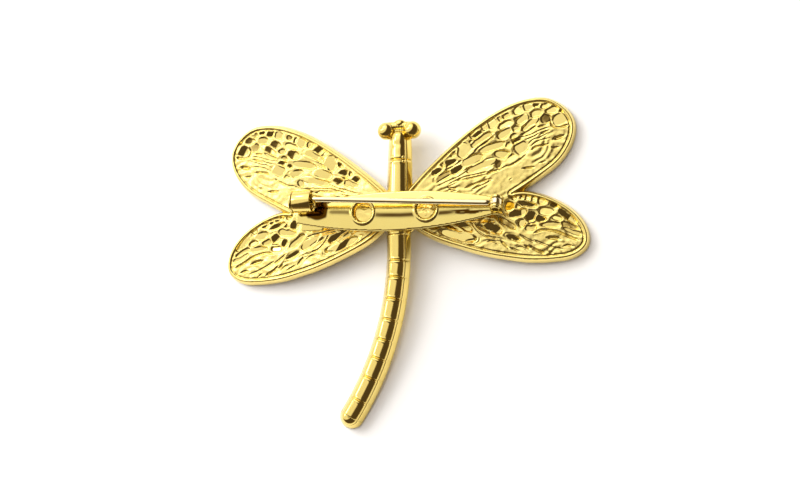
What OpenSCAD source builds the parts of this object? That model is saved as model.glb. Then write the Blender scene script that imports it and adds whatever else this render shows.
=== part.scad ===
// Dragonfly brooch, cast in gold-coloured metal, with a bar pin on its back.
// It lies face down: +Z is the back, +Y the head, and the floor is Z = 0.
// Sizes are millimetres and angles degrees.

/* [Wings] */
// Distance from a wing's root to its tip, forewing
fore_len = 27.3; // [22:0.1:34]
// Distance from a wing's root to its tip, hindwing
hind_len = 27; // [22:0.1:34]
// Widest reach of the forewing ahead of its own axis
fore_front_w = 5.75; // [4:0.05:7]
// Widest reach of the forewing behind its own axis
fore_rear_w = 6.4; // [5:0.05:7.5]
// Widest reach of the hindwing ahead of its own axis
hind_front_w = 5.85; // [4.5:0.05:7]
// Widest reach of the hindwing behind its own axis
hind_rear_w = 3.95; // [3:0.05:5]
// Angle of the forewing's axis towards the head
fore_sweep = 22.8; // [16:0.2:28]
// Angle of the hindwing's axis towards the tail
hind_sweep = 12.2; // [8:0.2:18]
// Angle at which each wing falls towards the floor
wing_fall = 4.9; // [3:0.1:8]
// Thickness of a wing at its rim
wing_t = 1.2; // [1:0.05:1.8]
// How far the front edge of a wing stands outside its back rim
draft = 0.4; // [0.1:0.05:0.6]
// Width of the raised rim round the wings
rim_w = 0.45; // [0.3:0.05:0.8]
// Depth of the wing's floor under the rim
field_depth = 0.45; // [0.3:0.05:0.6]
// Height of the raised veins above the wing's floor
vein_h = 0.28; // [0.1:0.02:0.4]

/* [Body] */
// Width of the neck's back ridge
neck_w = 2.7; // [2:0.05:3.5]
// Width of the tail's back ridge
tail_w = 2.6; // [1.8:0.05:3.2]
// Height of the rounded ridge above the wings' rim
ridge_h = 0.8; // [0.4:0.05:0.9]
// How far the front edge of the body stands outside its ridge
body_draft = 0.55; // [0.3:0.05:0.7]
// Length of the neck, from the wings' root to its end between the eyes
neck_len = 11; // [9:0.1:13]
// Length of the tail along its bend
tail_len = 28.1; // [20:0.1:34]
// Radius of the tail's bend
tail_bend_r = 46; // [38:1:90]
// Radius of an eye
eye_r = 1.3; // [1:0.02:1.5]
// Distance between the eyes
eye_gap = 3.95; // [3:0.05:5]
// Radius of the thorax, seen from above
thorax_r = 3.1; // [2.4:0.1:4]

/* [Pin bar] */
// Length of the lens-shaped bar
bar_len = 30; // [26:0.5:34]
// Width of the bar at its middle
bar_w = 5.8; // [4.8:0.1:7]
// Radius of the arcs that bound the bar
bar_arc_r = 66; // [50:1:90]
// Thickness of the bar's sheet
bar_t = 0.6; // [0.4:0.05:0.8]
// Radius of the bar's crowned section
bar_crown_r = 14; // [10:0.5:20]
// Gap between the body's ridge and the bar's long edges
bar_gap = 0.1; // [0.1:0.05:0.5]
// Turn of the bar against the wings
bar_turn = -2.1; // [-4:0.1:0]
// Distance between the two rivet posts
post_span = 9.5; // [7:0.1:12]
// Radius of a rivet post
post_r = 1.42; // [1:0.02:1.7]
// Gap between a rivet post and its hole
post_clear = 0.06; // [0.02:0.01:0.15]
// Width of the raised ring round a hole
ring_w = 0.3; // [0.2:0.05:0.5]
// Height of the raised ring above the bar
ring_h = 0.14; // [0.05:0.01:0.25]

/* [Needle and hinge] */
// Radius of the needle
needle_r = 0.42; // [0.3:0.01:0.5]
// Length of the needle's taper
taper_len = 5; // [3:0.1:8]
// Distance of the hinge from the bar's mid-line
hinge_off = 0.15; // [0:0.05:0.6]
// Height of the hinge above the bar
hinge_h = 1.25; // [1.15:0.05:1.6]
// Angle by which the needle's swing leans towards the head
hinge_lean = 18; // [0:1:24]
// Radius of the needle's eye
hinge_eye_r = 0.85; // [0.8:0.01:1]
// Width of the needle's eye
hinge_eye_w = 0.9; // [0.9:0.05:1.3]
// Radius of the hinge rivet
rivet_r = 0.42; // [0.32:0.01:0.46]
// Radial running clearance of the eye on its rivet
rivet_clear = 0.07; // [0.02:0.01:0.1]
// Thickness of a hinge ear
ear_t = 0.35; // [0.3:0.05:0.6]
// Gap between the eye and an ear
ear_gap = 0.1; // [0.08:0.01:0.2]

/* [Safety catch] */
// Outer radius of the turning sleeve
sleeve_r = 1.62; // [1.5:0.01:1.8]
// Wall of the turning sleeve
sleeve_wall = 0.28; // [0.25:0.01:0.36]
// Radial running clearance of the sleeve on the fixed barrel
sleeve_clear = 0.05; // [0.02:0.01:0.1]
// Wall of the fixed barrel
barrel_wall = 0.28; // [0.25:0.01:0.32]
// Length of the catch
catch_len = 3.2; // [3:0.1:4.5]
// Thickness of the end disc that carries the fixed barrel
disc_t = 0.35; // [0.3:0.05:0.6]
// Height of the catch's axis above the bar
catch_h = 2.1; // [1.9:0.05:2.4]
// Distance of the catch's axis from the bar's mid-line
catch_off = 1.62; // [1.2:0.05:2]
// How far the needle rests beside the catch's axis
needle_side = 0.15; // [0:0.01:0.35]
// How far the needle rests off the catch's axis towards its slot
needle_rise = 0.55; // [0:0.01:0.55]
// Width of the slots that the needle passes through
slot_w = 1.3; // [1.25:0.05:1.5]
// Turn of the sleeve between closed, as it rests, and open
catch_swing = 120; // [90:5:140]
// Length of the thumb lever
lever_len = 1.5; // [1:0.1:2]

/* [Hidden] */
gold = [0.86, 0.67, 0.25];
pale_gold = [0.93, 0.80, 0.42];
// Depth by which joined solids run into each other
lap = 0.02;
// Thickness of the slices that the body's hulls run through
slab = 0.1;

// Roots of the wings' axes on the back plane
fore_root = [1, -0.6];
hind_root = [1, -2.6];
// Middle of the bar, start of the tail and start of the neck on the back plane
bar_mid = [0.05, -2.2];
tail_start = [-0.12, -5.4];
neck_start = [0.2, -1.2];
// Lean of the neck towards the right wing, and first heading of the tail
neck_lean = 3;
tail_heading = 1.2;

// Outlines: share of the wing's length, share of its front and of its rear width
FORE_EDGE = [
    [0, 0.09, 0.45],
    [0.12, 0.34, 0.78],
    [0.3, 0.64, 0.97],
    [0.5, 0.89, 0.99],
    [0.7, 1, 0.89],
    [0.85, 0.9, 0.74],
    [0.95, 0.615, 0.45]
];
HIND_EDGE = [
    [0, 0.1, 0.07],
    [0.15, 0.25, 0.6],
    [0.35, 0.42, 0.88],
    [0.5, 0.74, 0.99],
    [0.6, 0.97, 1],
    [0.7, 0.985, 0.98],
    [0.85, 0.8, 0.8],
    [0.95, 0.49, 0.53]
];
// Cells between the veins: share along the wing, share of the front width across,
// length as a share of the wing's length, width as a share of the front width, turn
FORE_CELLS = [
    [0.315, 0.34, 0.065, 0.22, 0],
    [0.362, 0.54, 0.05, 0.1, 25],
    [0.405, 0.49, 0.08, 0.36, 25],
    [0.505, 0.74, 0.08, 0.13, 8],
    [0.525, 0.54, 0.125, 0.2, 6],
    [0.56, 0.21, 0.145, 0.19, -11],
    [0.618, 0.76, 0.06, 0.2, 20],
    [0.585, -0.07, 0.08, 0.17, -35],
    [0.67, 0.61, 0.07, 0.14, -5],
    [0.65, 0.4, 0.085, 0.18, 8],
    [0.685, 0.09, 0.055, 0.12, -5],
    [0.69, -0.12, 0.065, 0.24, 0],
    [0.763, 0.79, 0.05, 0.17, 0],
    [0.762, 0.52, 0.075, 0.17, 5],
    [0.79, 0.31, 0.11, 0.15, 12],
    [0.847, 0.51, 0.058, 0.18, -8],
    [0.82, 0.77, 0.05, 0.16, -10],
    [0.927, 0.39, 0.06, 0.15, -12],
    [0.9, 0.08, 0.022, 0.26, 8],
    [0.93, -0.12, 0.075, 0.08, -14],
    [0.8, 0.14, 0.12, 0.05, 2],
    [0.89, -0.31, 0.075, 0.09, -10],
    [0.67, -0.66, 0.09, 0.06, -24],
    [0.38, -0.35, 0.19, 0.1, -12]
];
HIND_CELLS = [
    [0.56, 0.59, 0.045, 0.26, -12],
    [0.65, 0.7, 0.1, 0.11, -3],
    [0.61, 0.46, 0.1, 0.18, 18],
    [0.727, 0.83, 0.036, 0.14, 0],
    [0.793, 0.77, 0.04, 0.12, 0],
    [0.756, 0.585, 0.085, 0.19, 4],
    [0.87, 0.56, 0.13, 0.11, -27],
    [0.738, 0.38, 0.058, 0.12, -10],
    [0.68, 0.42, 0.05, 0.24, -25],
    [0.64, 0.21, 0.04, 0.17, 0],
    [0.695, 0.14, 0.055, 0.12, 15],
    [0.79, 0.285, 0.105, 0.1, 6],
    [0.895, 0.32, 0.09, 0.1, -15],
    [0.56, 0.165, 0.1, 0.13, -20],
    [0.83, 0.12, 0.16, 0.05, -5],
    [0.74, -0.38, 0.09, 0.06, -15],
    [0.49, 0.02, 0.11, 0.14, -20],
    [0.605, -0.19, 0.09, 0.09, -18],
    [0.36, -0.08, 0.12, 0.13, -18],
    [0.3, -0.31, 0.18, 0.13, -8],
];
// Joints between the tail's rings, as shares of its length
TAIL_JOINTS = [0, 0.135, 0.222, 0.335, 0.445, 0.555, 0.655, 0.765, 0.895, 1];
// Neck: share of its length from the wings' root, of its width and of the ridge's height,
// and how far the section is drawn in, as a share of the neck's width
NECK_REAR = [[-0.34, 0.98, 0.94, 0], [0, 1.07, 1, 0], [0.601, 1, 1, 0]];
NECK_WAIST = [[0.505, 1.01, 0.75, 0.05], [0.724, 0.98, 0.72, 0.04]];
NECK_FRONT = [[0.629, 0.96, 1, 0], [0.93, 0.9, 0.94, 0], [1, 0.76, 0.6, 0]];
// Place of the crease across the neck, as a share of its length
crease = 0.615;

// Smooth curve through the rows of a table, value in column c at share s
function row_at(t, s) = max([for (i = [0:len(t) - 2]) if (t[i][0] <= s) i]);
function slope(t, c, i) =
    let (a = max(i - 1, 0), b = min(i + 1, len(t) - 1))
    (t[b][c] - t[a][c]) / (t[b][0] - t[a][0]);
function smooth(t, c, s) =
    let (i = row_at(t, s), d = t[i + 1][0] - t[i][0], u = (s - t[i][0]) / d, v = 1 - u)
    v * v * ((1 + 2 * u) * t[i][c] + u * d * slope(t, c, i))
    + u * u * ((1 + 2 * v) * t[i + 1][c] - v * d * slope(t, c, i + 1));
// The same table with its widths opened out, so that the tip closes as an ellipse does
function open_tip(t) = concat(
    [for (r = t) [r[0], r[1] / sqrt(1 - r[0]), r[2] / sqrt(1 - r[0])]],
    [let (r = t[len(t) - 1]) [1, r[1] / sqrt(1 - r[0]), r[2] / sqrt(1 - r[0])]]
);
edge_steps = 24;
function share(i) = 1 - pow(1 - i / edge_steps, 2);
function edge_at(g, c, s, width) = width * sqrt(1 - s) * smooth(g, c, s);
function wing_points(t, length, front, rear) =
    let (g = open_tip(t))
    concat(
        [for (i = [0:edge_steps]) let (s = share(i)) [s * length, edge_at(g, 1, s, front)]],
        [for (i = [edge_steps - 1:-1:0]) let (s = share(i)) [s * length, -edge_at(g, 2, s, rear)]]
    );
function turned(p, a) = [p[0] * cos(a) - p[1] * sin(a), p[0] * sin(a) + p[1] * cos(a)];
function placed(points, root, a) = [for (p = points) root + turned(p, a)];
fore_points = placed(wing_points(FORE_EDGE, fore_len, fore_front_w, fore_rear_w), fore_root, fore_sweep);
hind_points = placed(wing_points(HIND_EDGE, hind_len, hind_front_w, hind_rear_w), hind_root, -hind_sweep);
// Radius that fills the notch between the wings
notch_fill = 0.3;
// Rib in the notch: place along the hindwing, reach, and how far it lies under the rim
notch_share = 0.57;
notch_r = 3.2;
rib_drop = 0.08;

// Reach of the wings, and the floor that their front edges touch
wing_reach = max([for (p = concat(fore_points, hind_points)) p[0]]) + draft;
wing_top = max([for (p = fore_points) p[1]]) + draft;
floor_drop = wing_reach * sin(wing_fall) + wing_t * cos(wing_fall);

// Body: how far the rounded crown stands inside the ridge, and how deep it is rooted
crown_inset = 0.06;
crown_root = 0.1;
// Half width of the grooves, and how far the core in them is drawn in and lowered
groove_half = 0.15;
core_inset = 0.1;
core_drop = 0.2;
// How far the tail's round end is drawn in from its last ring
tip_inset = 0.03;

// Point and heading of the tail's mid-line at a share of its length
function tail_angle(s) = tail_heading + s * tail_len / tail_bend_r * 180 / PI;
function tail_at(s) = let (a = tail_angle(s), b = tail_heading)
    [-tail_bend_r * (cos(b) - cos(a)), -tail_bend_r * (sin(a) - sin(b))];
tail_front_r = tail_w / 2 + body_draft;
tail_groove = groove_half / tail_len;
tail_reach = tail_front_r - tip_inset - tail_at(1 - tail_groove)[1];
// The tail falls until its tip rests on the same floor as the wings
tip_clear = 0.03;
tail_fall = asin((floor_drop - tip_clear - wing_t) / tail_reach);
tail_bottom = tail_start[1] - tail_reach * cos(tail_fall) + wing_t * sin(tail_fall);
y_mid = (wing_top + tail_bottom) / 2;

// Thorax: clearance over the floor, stretch along the body, radius of its flat foot, and
// its two domes: depth under the back plane as a share of the floor's drop, and height
thorax_clear = 0.35;
thorax_long = 1.12;
thorax_foot = 0.45;
thorax_domes = [[0.131, 0.5], [0.55, 0.6]];

// Head: places of the eyes and of the snout before the neck's end, and their heights
eye_ahead = 0.3;
eye_sink = 0.45;
brow_r = 0.95;
snout_r = 0.86;
snout_at = [0.08, 0.8, -0.3];
// Pimples beside the neck's crease
pimple_r = 0.25;
pimple_at = [0.31 * neck_w, 0.32, 0.6 * ridge_h];

// Heights above the back plane: the crowned bar's long edges clear the body's ridge
inner_crown_r = bar_crown_r - bar_t;
crown_drop = inner_crown_r - sqrt(inner_crown_r * inner_crown_r - bar_w * bar_w / 4);
bar_bottom = ridge_h + bar_gap + crown_drop;
bar_top = bar_bottom + bar_t;
// Feet of the rivet posts: how far they stand out, and their gap under the bar
post_foot = 0.45;
post_foot_gap = 0.22;
// Depths of the two post heads in their holes
post_depths = [0.75, 0.12];

// How far the bar's sheet and the hinge stand past its end, and the catch inside the other
bar_past = 0.6;
hinge_past = 0.35;
catch_inset = 1.62;
hinge_x = bar_len / 2 + hinge_past;
catch_x = catch_inset - bar_len / 2;
hinge_at = [hinge_x, hinge_off, bar_top + hinge_h];
catch_at = [catch_x, catch_off, bar_top + catch_h];
// The needle aims at a point beside the catch's axis
needle_aim = catch_at + [
    0,
    needle_side * cos(hinge_lean) + needle_rise * sin(hinge_lean),
    needle_rise * cos(hinge_lean) - needle_side * sin(hinge_lean)
];
reach = needle_aim - hinge_at;
needle_d = norm(reach);
needle_yaw = -asin(reach[1] / norm([reach[0], reach[1]]));
needle_pitch = asin(reach[2] / needle_d);
// Distance between the needle's point and the catch's far end, and radius of the point
tip_inside = 0.75;
point_r = 0.12;

// Hinge: ears round the eye, their roots in the pad under them, and the rivet's heads
ear_r = hinge_eye_r + 0.02;
ear_y = hinge_eye_w / 2 + ear_gap;
ear_root = 0.45;
rivet_head = 0.14;
rivet_head_r = rivet_r + 0.24;
rivet_gap = 0.03;
pad_w = 2.7;
pad_len = 3.2;
pad_sink = 0.1;

// Catch: the sleeve turns on the barrel between its end disc and its lip
barrel_r = sleeve_r - sleeve_wall - sleeve_clear;
barrel_bore = barrel_r - barrel_wall;
lip_r = barrel_r + sleeve_wall / 2;
lip_len = 0.3;
lip_sink = 0.15;
end_gap = 0.1;
// Lever: its angle from the sleeve's slot, thickness, and rise over the sleeve
lever_angle = 60;
lever_t = 0.55;
lever_rise = 0.12;
// End foot of the bar beside the catch, and the arm and riser that carry the disc
foot_past = 0.95;
foot_sink = 0.45;
foot_len = 3.4;
foot_side = 2.35;
foot_w = 4.1;
arm_w = 1.5;
arm_gap = 0.12;

// Shapes shared by the pieces
module stand() translate([0, -y_mid, floor_drop]) children();
module on_bar() translate([bar_mid[0], bar_mid[1], 0]) rotate([0, 0, bar_turn]) children();
module on_needle() on_bar()
    translate(hinge_at) rotate([0, 0, needle_yaw]) rotate([0, needle_pitch, 0]) rotate([-hinge_lean, 0, 0])
    children();
module on_catch() on_bar() translate(catch_at) rotate([-hinge_lean, 0, 0]) children();
module along_x(r, x0, x1) translate([x0, 0, 0]) rotate([0, 90, 0]) cylinder(r = r, h = x1 - x0, $fn = 64);
module along_y(r, y0, y1) translate([0, y1, 0]) rotate([90, 0, 0]) cylinder(r = r, h = y1 - y0, $fn = 64);

// Wings
module side_shape() offset(delta = -notch_fill) offset(delta = notch_fill) union() {
    polygon(fore_points);
    polygon(hind_points);
}
module cells(rows, root, sweep, length, front) translate(root) rotate(sweep)
    for (c = rows)
        translate([c[0] * length, c[1] * front]) rotate(c[4])
        scale([c[2] * length, c[3] * front]) circle(d = 1, $fn = 10);
module wing_slab(points) hull() {
    translate([0, 0, -lap]) linear_extrude(lap) polygon(points);
    translate([0, 0, -wing_t]) linear_extrude(lap) offset(r = draft, $fn = 12) polygon(points);
}
module notch_rib() intersection() {
    difference() {
        polygon(hind_points);
        offset(delta = -notch_fill) polygon(hind_points);
    }
    translate([hind_root[0] + notch_share * hind_len, 0]) circle(r = notch_r, $fn = 32);
}
module wing_pair() rotate([0, wing_fall, 0]) {
    difference() {
        union() {
            wing_slab(fore_points);
            wing_slab(hind_points);
        }
        translate([0, 0, -field_depth]) linear_extrude(1) offset(delta = -rim_w) side_shape();
    }
    translate([0, 0, -field_depth - lap]) linear_extrude(vein_h + lap) difference() {
        offset(delta = -rim_w / 2) side_shape();
        cells(FORE_CELLS, fore_root, fore_sweep, fore_len, fore_front_w);
        cells(HIND_CELLS, hind_root, -hind_sweep, hind_len, hind_front_w);
    }
    translate([0, 0, -field_depth - lap]) linear_extrude(field_depth - rib_drop) notch_rib();
}

// Body: a rounded ridge on a wider base
module section(ridge, crown, inset = 0) rotate([90, 0, 0]) translate([0, 0, -slab / 2]) linear_extrude(slab) {
    foot = ridge / 2 + body_draft - inset;
    edge = ridge / 2 - inset;
    polygon([[-foot, inset - wing_t], [foot, inset - wing_t], [edge, 0], [-edge, 0]]);
    intersection() {
        scale([edge - crown_inset, crown]) circle(r = 1, $fn = 20);
        translate([-ridge, -crown_root]) square([2 * ridge, 2 * ridge]);
    }
}
module on_tail(s) translate([tail_start[0], tail_start[1], 0]) rotate([tail_fall, 0, 0])
    translate([tail_at(s)[0], tail_at(s)[1], 0]) rotate([0, 0, -tail_angle(s)]) children();
module tail_piece(a, b, crown, inset) hull() {
    on_tail(a) section(tail_w, crown, inset);
    on_tail(b) section(tail_w, crown, inset);
}
module tail() {
    joints = TAIL_JOINTS;
    last = len(joints) - 1;
    for (i = [0:last - 1])
        tail_piece(joints[i] + tail_groove, joints[i + 1] - tail_groove, ridge_h, 0);
    // The narrower core shows in the grooves between the rings
    for (i = [0:last - 2]) {
        a = (joints[i] + joints[i + 1]) / 2;
        b = (joints[i + 1] + joints[i + 2]) / 2;
        tail_piece(a, b, ridge_h - core_drop, core_inset);
    }
    // Round end
    end_r = tail_w / 2 - tip_inset;
    on_tail(1 - tail_groove) hull() {
        translate([0, 0, tip_inset - wing_t])
            cylinder(r1 = tail_front_r - tip_inset, r2 = end_r, h = wing_t - tip_inset, $fn = 40);
        scale([end_r - crown_inset, end_r - crown_inset, ridge_h - tip_inset]) sphere(r = 1, $fn = 24);
    }
}
module on_neck(y) translate([neck_start[0], neck_start[1], 0]) rotate([0, 0, -neck_lean])
    translate([0, y, 0]) children();
module neck_piece(rows) hull() for (r = rows)
    on_neck(r[0] * neck_len) section(r[1] * neck_w, r[2] * ridge_h, r[3] * neck_w);
module neck() {
    neck_piece(NECK_REAR);
    neck_piece(NECK_WAIST);
    neck_piece(NECK_FRONT);
    for (side = [-1, 1], step = [-1, 1])
        on_neck(crease * neck_len + step * pimple_at[1])
        translate([side * pimple_at[0], 0, pimple_at[2]]) sphere(r = pimple_r, $fn = 10);
}
module head() on_neck(neck_len + eye_ahead) {
    for (side = [-1, 1])
        translate([side * eye_gap / 2, 0, -eye_sink]) sphere(r = eye_r, $fn = 28);
    hull() for (side = [-1, 1])
        translate([side * eye_gap / 2, 0, -eye_sink]) sphere(r = brow_r, $fn = 20);
    translate(snout_at) sphere(r = snout_r, $fn = 22);
}
module thorax() translate([neck_start[0], bar_mid[1], 0]) hull() {
    for (dome = thorax_domes)
        translate([0, 0, -dome[0] * floor_drop])
        scale([thorax_r, thorax_r * thorax_long, dome[1]]) sphere(r = 1, $fn = 24);
    translate([0, 0, thorax_clear - floor_drop]) cylinder(r = thorax_foot * thorax_r, h = lap, $fn = 32);
}
// Rivet posts: the bar rests on their wide feet, and their heads fill its holes
module posts() on_bar() for (i = [0, 1]) translate([(i - 0.5) * post_span, 0, -wing_t]) {
    cylinder(r = post_r, h = bar_top - post_depths[i] + wing_t, $fn = 48);
    cylinder(r = post_r + post_foot, h = bar_bottom - post_foot_gap + wing_t, $fn = 48);
}
module dragonfly_casting() color(gold) stand() {
    wing_pair();
    mirror([1, 0, 0]) wing_pair();
    tail();
    neck();
    head();
    thorax();
    posts();
}

// Pin bar: a crowned lens of sheet with two ringed holes, ears, end foot and the fixed barrel
module lens(height) linear_extrude(height) intersection() {
    translate([0, bar_w / 2 - bar_arc_r]) circle(r = bar_arc_r, $fn = 256);
    translate([0, bar_arc_r - bar_w / 2]) circle(r = bar_arc_r, $fn = 256);
    translate([-bar_len / 2, -bar_w]) square([bar_len + bar_past, 2 * bar_w]);
}
module crowned_sheet() intersection() {
    lens(bar_top);
    difference() {
        translate([0, 0, bar_top - bar_crown_r]) along_x(bar_crown_r, -bar_len, bar_len);
        translate([0, 0, bar_top - bar_crown_r]) along_x(inner_crown_r, -bar_len, bar_len);
    }
}
module hole_rings() for (side = [-1, 1])
    translate([side * post_span / 2, 0, bar_bottom + lap])
    cylinder(r = post_r + post_clear + ring_w, h = bar_t + ring_h - lap, $fn = 64);
module hinge_ears() for (side = [-1, 1]) translate([0, side * (ear_y + ear_t / 2), 0]) {
    along_y(ear_r, -ear_t / 2, ear_t / 2);
    translate([-ear_r, -ear_t / 2, -hinge_h - ear_root]) cube([2 * ear_r, ear_t, hinge_h + ear_root]);
}
module end_feet() {
    // Pad under the hinge ears
    translate([hinge_x - pad_len, -pad_w / 2, bar_bottom - pad_sink]) cube([pad_len + ear_r, pad_w, bar_t]);
    // End foot beside the catch
    foot_x = catch_x - foot_past;
    translate([foot_x, -foot_side, bar_bottom - foot_sink]) cube([foot_len, foot_w, bar_t]);
    // Arm and riser under the catch's end disc
    x0 = catch_x - catch_len / 2;
    arm_top = bar_top + catch_h - sleeve_r - arm_gap;
    translate([x0, catch_off - arm_w / 2, bar_bottom - foot_sink])
        cube([catch_len, arm_w, arm_top - bar_bottom + foot_sink]);
    translate([x0, catch_off - arm_w / 2, bar_bottom])
        cube([disc_t, arm_w, bar_t + catch_h]);
}
module fixed_barrel() difference() {
    x0 = -catch_len / 2;
    x1 = catch_len / 2 - lip_sink;
    union() {
        along_x(sleeve_r, x0, x0 + disc_t);
        along_x(barrel_r, x0, x1);
        along_x(lip_r, x1 - lip_len, x1);
    }
    along_x(barrel_bore, x0 + disc_t, catch_len);
    translate([x0 + disc_t, -slot_w / 2, 0]) cube([catch_len, slot_w, 2 * sleeve_r]);
}
module pin_bar() color(pale_gold) stand() difference() {
    union() {
        on_bar() {
            crowned_sheet();
            hole_rings();
            end_feet();
        }
        on_needle() hinge_ears();
        on_catch() fixed_barrel();
    }
    on_bar() for (side = [-1, 1])
        translate([side * post_span / 2, 0, 0]) cylinder(r = post_r + post_clear, h = 2 * bar_top, $fn = 64);
    on_needle() along_y(rivet_r + lap, -2 * ear_y - ear_t, 2 * ear_y + ear_t);
}

// Rivet through the hinge ears, with a low head at each end
module hinge_rivet() color(gold) stand() on_needle() {
    end = ear_y + ear_t + rivet_gap;
    along_y(rivet_r, -end - lap, end + lap);
    along_y(rivet_head_r, end, end + rivet_head);
    along_y(rivet_head_r, -end - rivet_head, -end);
}

// Needle: round wire with an eye at the hinge and a long taper to its point
module pin_needle() color(pale_gold) stand() on_needle() difference() {
    taper_x = -needle_d - catch_len / 2 + tip_inside + taper_len;
    union() {
        along_x(needle_r, taper_x, 0);
        translate([taper_x, 0, 0]) rotate([0, -90, 0])
            cylinder(r1 = needle_r, r2 = point_r, h = taper_len, $fn = 48);
        along_y(hinge_eye_r, -hinge_eye_w / 2, hinge_eye_w / 2);
    }
    along_y(rivet_r + rivet_clear, -hinge_eye_w, hinge_eye_w);
}

// Turning sleeve round the fixed barrel, shown closed, with its slot and thumb lever
module lever_plate() rotate([90, 0, 0]) translate([0, 0, -lever_t / 2]) linear_extrude(lever_t) {
    mouth = catch_len / 2;
    inner = lip_r + 2 * sleeve_clear;
    outer = sleeve_r + lever_rise;
    polygon([
        [mouth - lip_len, sleeve_r - lap],
        [mouth, outer],
        [mouth + lever_len / 3, outer],
        [mouth + lever_len, inner],
        [mouth + lever_len / 2, barrel_bore],
        [mouth - lap, inner]
    ]);
}
module catch_sleeve() color(gold) stand() on_catch() rotate([-catch_swing, 0, 0]) difference() {
    x0 = -catch_len / 2 + disc_t + end_gap;
    mouth = catch_len / 2;
    union() {
        along_x(sleeve_r, x0, mouth);
        rotate([lever_angle, 0, 0]) lever_plate();
    }
    along_x(barrel_r + sleeve_clear, x0 - 1, mouth);
    along_x(lip_r + sleeve_clear, mouth - lip_sink - lip_len - end_gap, mouth + lap);
    translate([x0 - 1, -slot_w / 2, 0]) cube([catch_len + 1, slot_w, 2 * sleeve_r]);
}

dragonfly_casting();
pin_bar();
hinge_rivet();
pin_needle();
catch_sleeve();
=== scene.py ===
import math

import bpy
import numpy as np
from mathutils import Matrix, Vector
from mathutils.geometry import delaunay_2d_cdt


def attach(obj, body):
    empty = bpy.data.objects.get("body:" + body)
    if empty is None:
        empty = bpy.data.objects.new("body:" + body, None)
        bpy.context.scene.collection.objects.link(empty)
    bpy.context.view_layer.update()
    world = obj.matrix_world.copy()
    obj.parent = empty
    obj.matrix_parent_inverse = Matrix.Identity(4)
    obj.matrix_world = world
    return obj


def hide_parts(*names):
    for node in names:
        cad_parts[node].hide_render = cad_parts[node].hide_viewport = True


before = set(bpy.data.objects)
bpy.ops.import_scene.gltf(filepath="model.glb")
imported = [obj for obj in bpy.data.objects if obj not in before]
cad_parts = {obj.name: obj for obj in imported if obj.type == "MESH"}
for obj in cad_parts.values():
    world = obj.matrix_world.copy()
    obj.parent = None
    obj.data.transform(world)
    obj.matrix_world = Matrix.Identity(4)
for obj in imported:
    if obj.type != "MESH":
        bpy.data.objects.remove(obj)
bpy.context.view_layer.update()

# sizes, mm
# The design frame has the wings' back plane at Z = 0; the row frame is lifted and centred.
FORE_ROOT, FORE_LEN, FORE_SWEEP = (1.0, -0.6), 27.3, 22.8
HIND_ROOT, HIND_LEN, HIND_SWEEP = (1.0, -2.6), 27.0, -12.2
FORE_FRONT, FORE_REAR = 5.75, 6.4
HIND_FRONT, HIND_REAR = 5.85, 3.95
WING_FALL = 4.9
WING_T = 1.2
DRAFT = 0.4
RIM = 0.42
Y_MID = -9.74625
FLOOR_DROP = 3.5751
UNIT = 6.0          # distances across a wing are charted in this unit

# share along a wing, then its reach to the front and to the rear as shares of the greatest
FORE_EDGE = [(0, 0.09, 0.45), (0.12, 0.34, 0.78), (0.3, 0.64, 0.97), (0.5, 0.89, 0.99),
             (0.7, 1, 0.89), (0.85, 0.9, 0.74), (0.95, 0.615, 0.45)]
HIND_EDGE = [(0, 0.1, 0.07), (0.15, 0.25, 0.6), (0.35, 0.42, 0.88), (0.5, 0.74, 0.99),
             (0.6, 0.97, 1), (0.7, 0.985, 0.98), (0.85, 0.8, 0.8), (0.95, 0.49, 0.53)]


def to_row(points):
    """Design frame in mm to the row frame in metres."""
    p = np.asarray(points, float).reshape(-1, 3)
    return (p + np.array([0.0, -Y_MID, FLOOR_DROP])) / 1000.0


# mesh helpers
def add_mesh(name, verts, faces):
    """A smooth object from points in the design frame."""
    me = bpy.data.meshes.new(name)
    me.from_pydata(to_row(verts).tolist(), [], [tuple(int(i) for i in f) for f in faces])
    me.validate()
    me.update()
    me.polygons.foreach_set("use_smooth", np.ones(len(me.polygons), bool))
    ob = bpy.data.objects.new(name, me)
    bpy.context.scene.collection.objects.link(ob)
    return ob


def join(name, parts):
    """One object from several (points, faces) parts."""
    verts, faces, n = [], [], 0
    for v, f in parts:
        v = np.asarray(v, float).reshape(-1, 3)
        verts.append(v)
        faces += [tuple(int(i) + n for i in q) for q in f]
        n += len(v)
    return add_mesh(name, np.vstack(verts), faces)


def point_mask(ob, name, values):
    """Keeps a mask on the mesh for its material. Points past the given values get 0."""
    rest = np.zeros(len(ob.data.vertices) - len(values))
    layer = ob.data.attributes.new(name, "FLOAT", "POINT")
    layer.data.foreach_set("value", np.concatenate([values, rest]))


def rot(axis, degrees):
    """Rotation matrix about one axis."""
    return np.array(Matrix.Rotation(math.radians(degrees), 3, axis))


def moved(verts, m=None, t=(0, 0, 0)):
    """Points turned by m, then shifted by t."""
    v = np.asarray(verts, float).reshape(-1, 3)
    if m is not None:
        v = v @ np.asarray(m).T
    return v + np.array(t, float)


def grid_faces(rows, cols, close_rows=False, close_cols=False, flip=False):
    """Quads over a grid of points kept row by row."""
    out = []
    for i in range(rows if close_rows else rows - 1):
        for j in range(cols if close_cols else cols - 1):
            a = i * cols + j
            b = i * cols + (j + 1) % cols
            c = ((i + 1) % rows) * cols + (j + 1) % cols
            d = ((i + 1) % rows) * cols + j
            out.append((a, d, c, b) if flip else (a, b, c, d))
    return out


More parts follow.
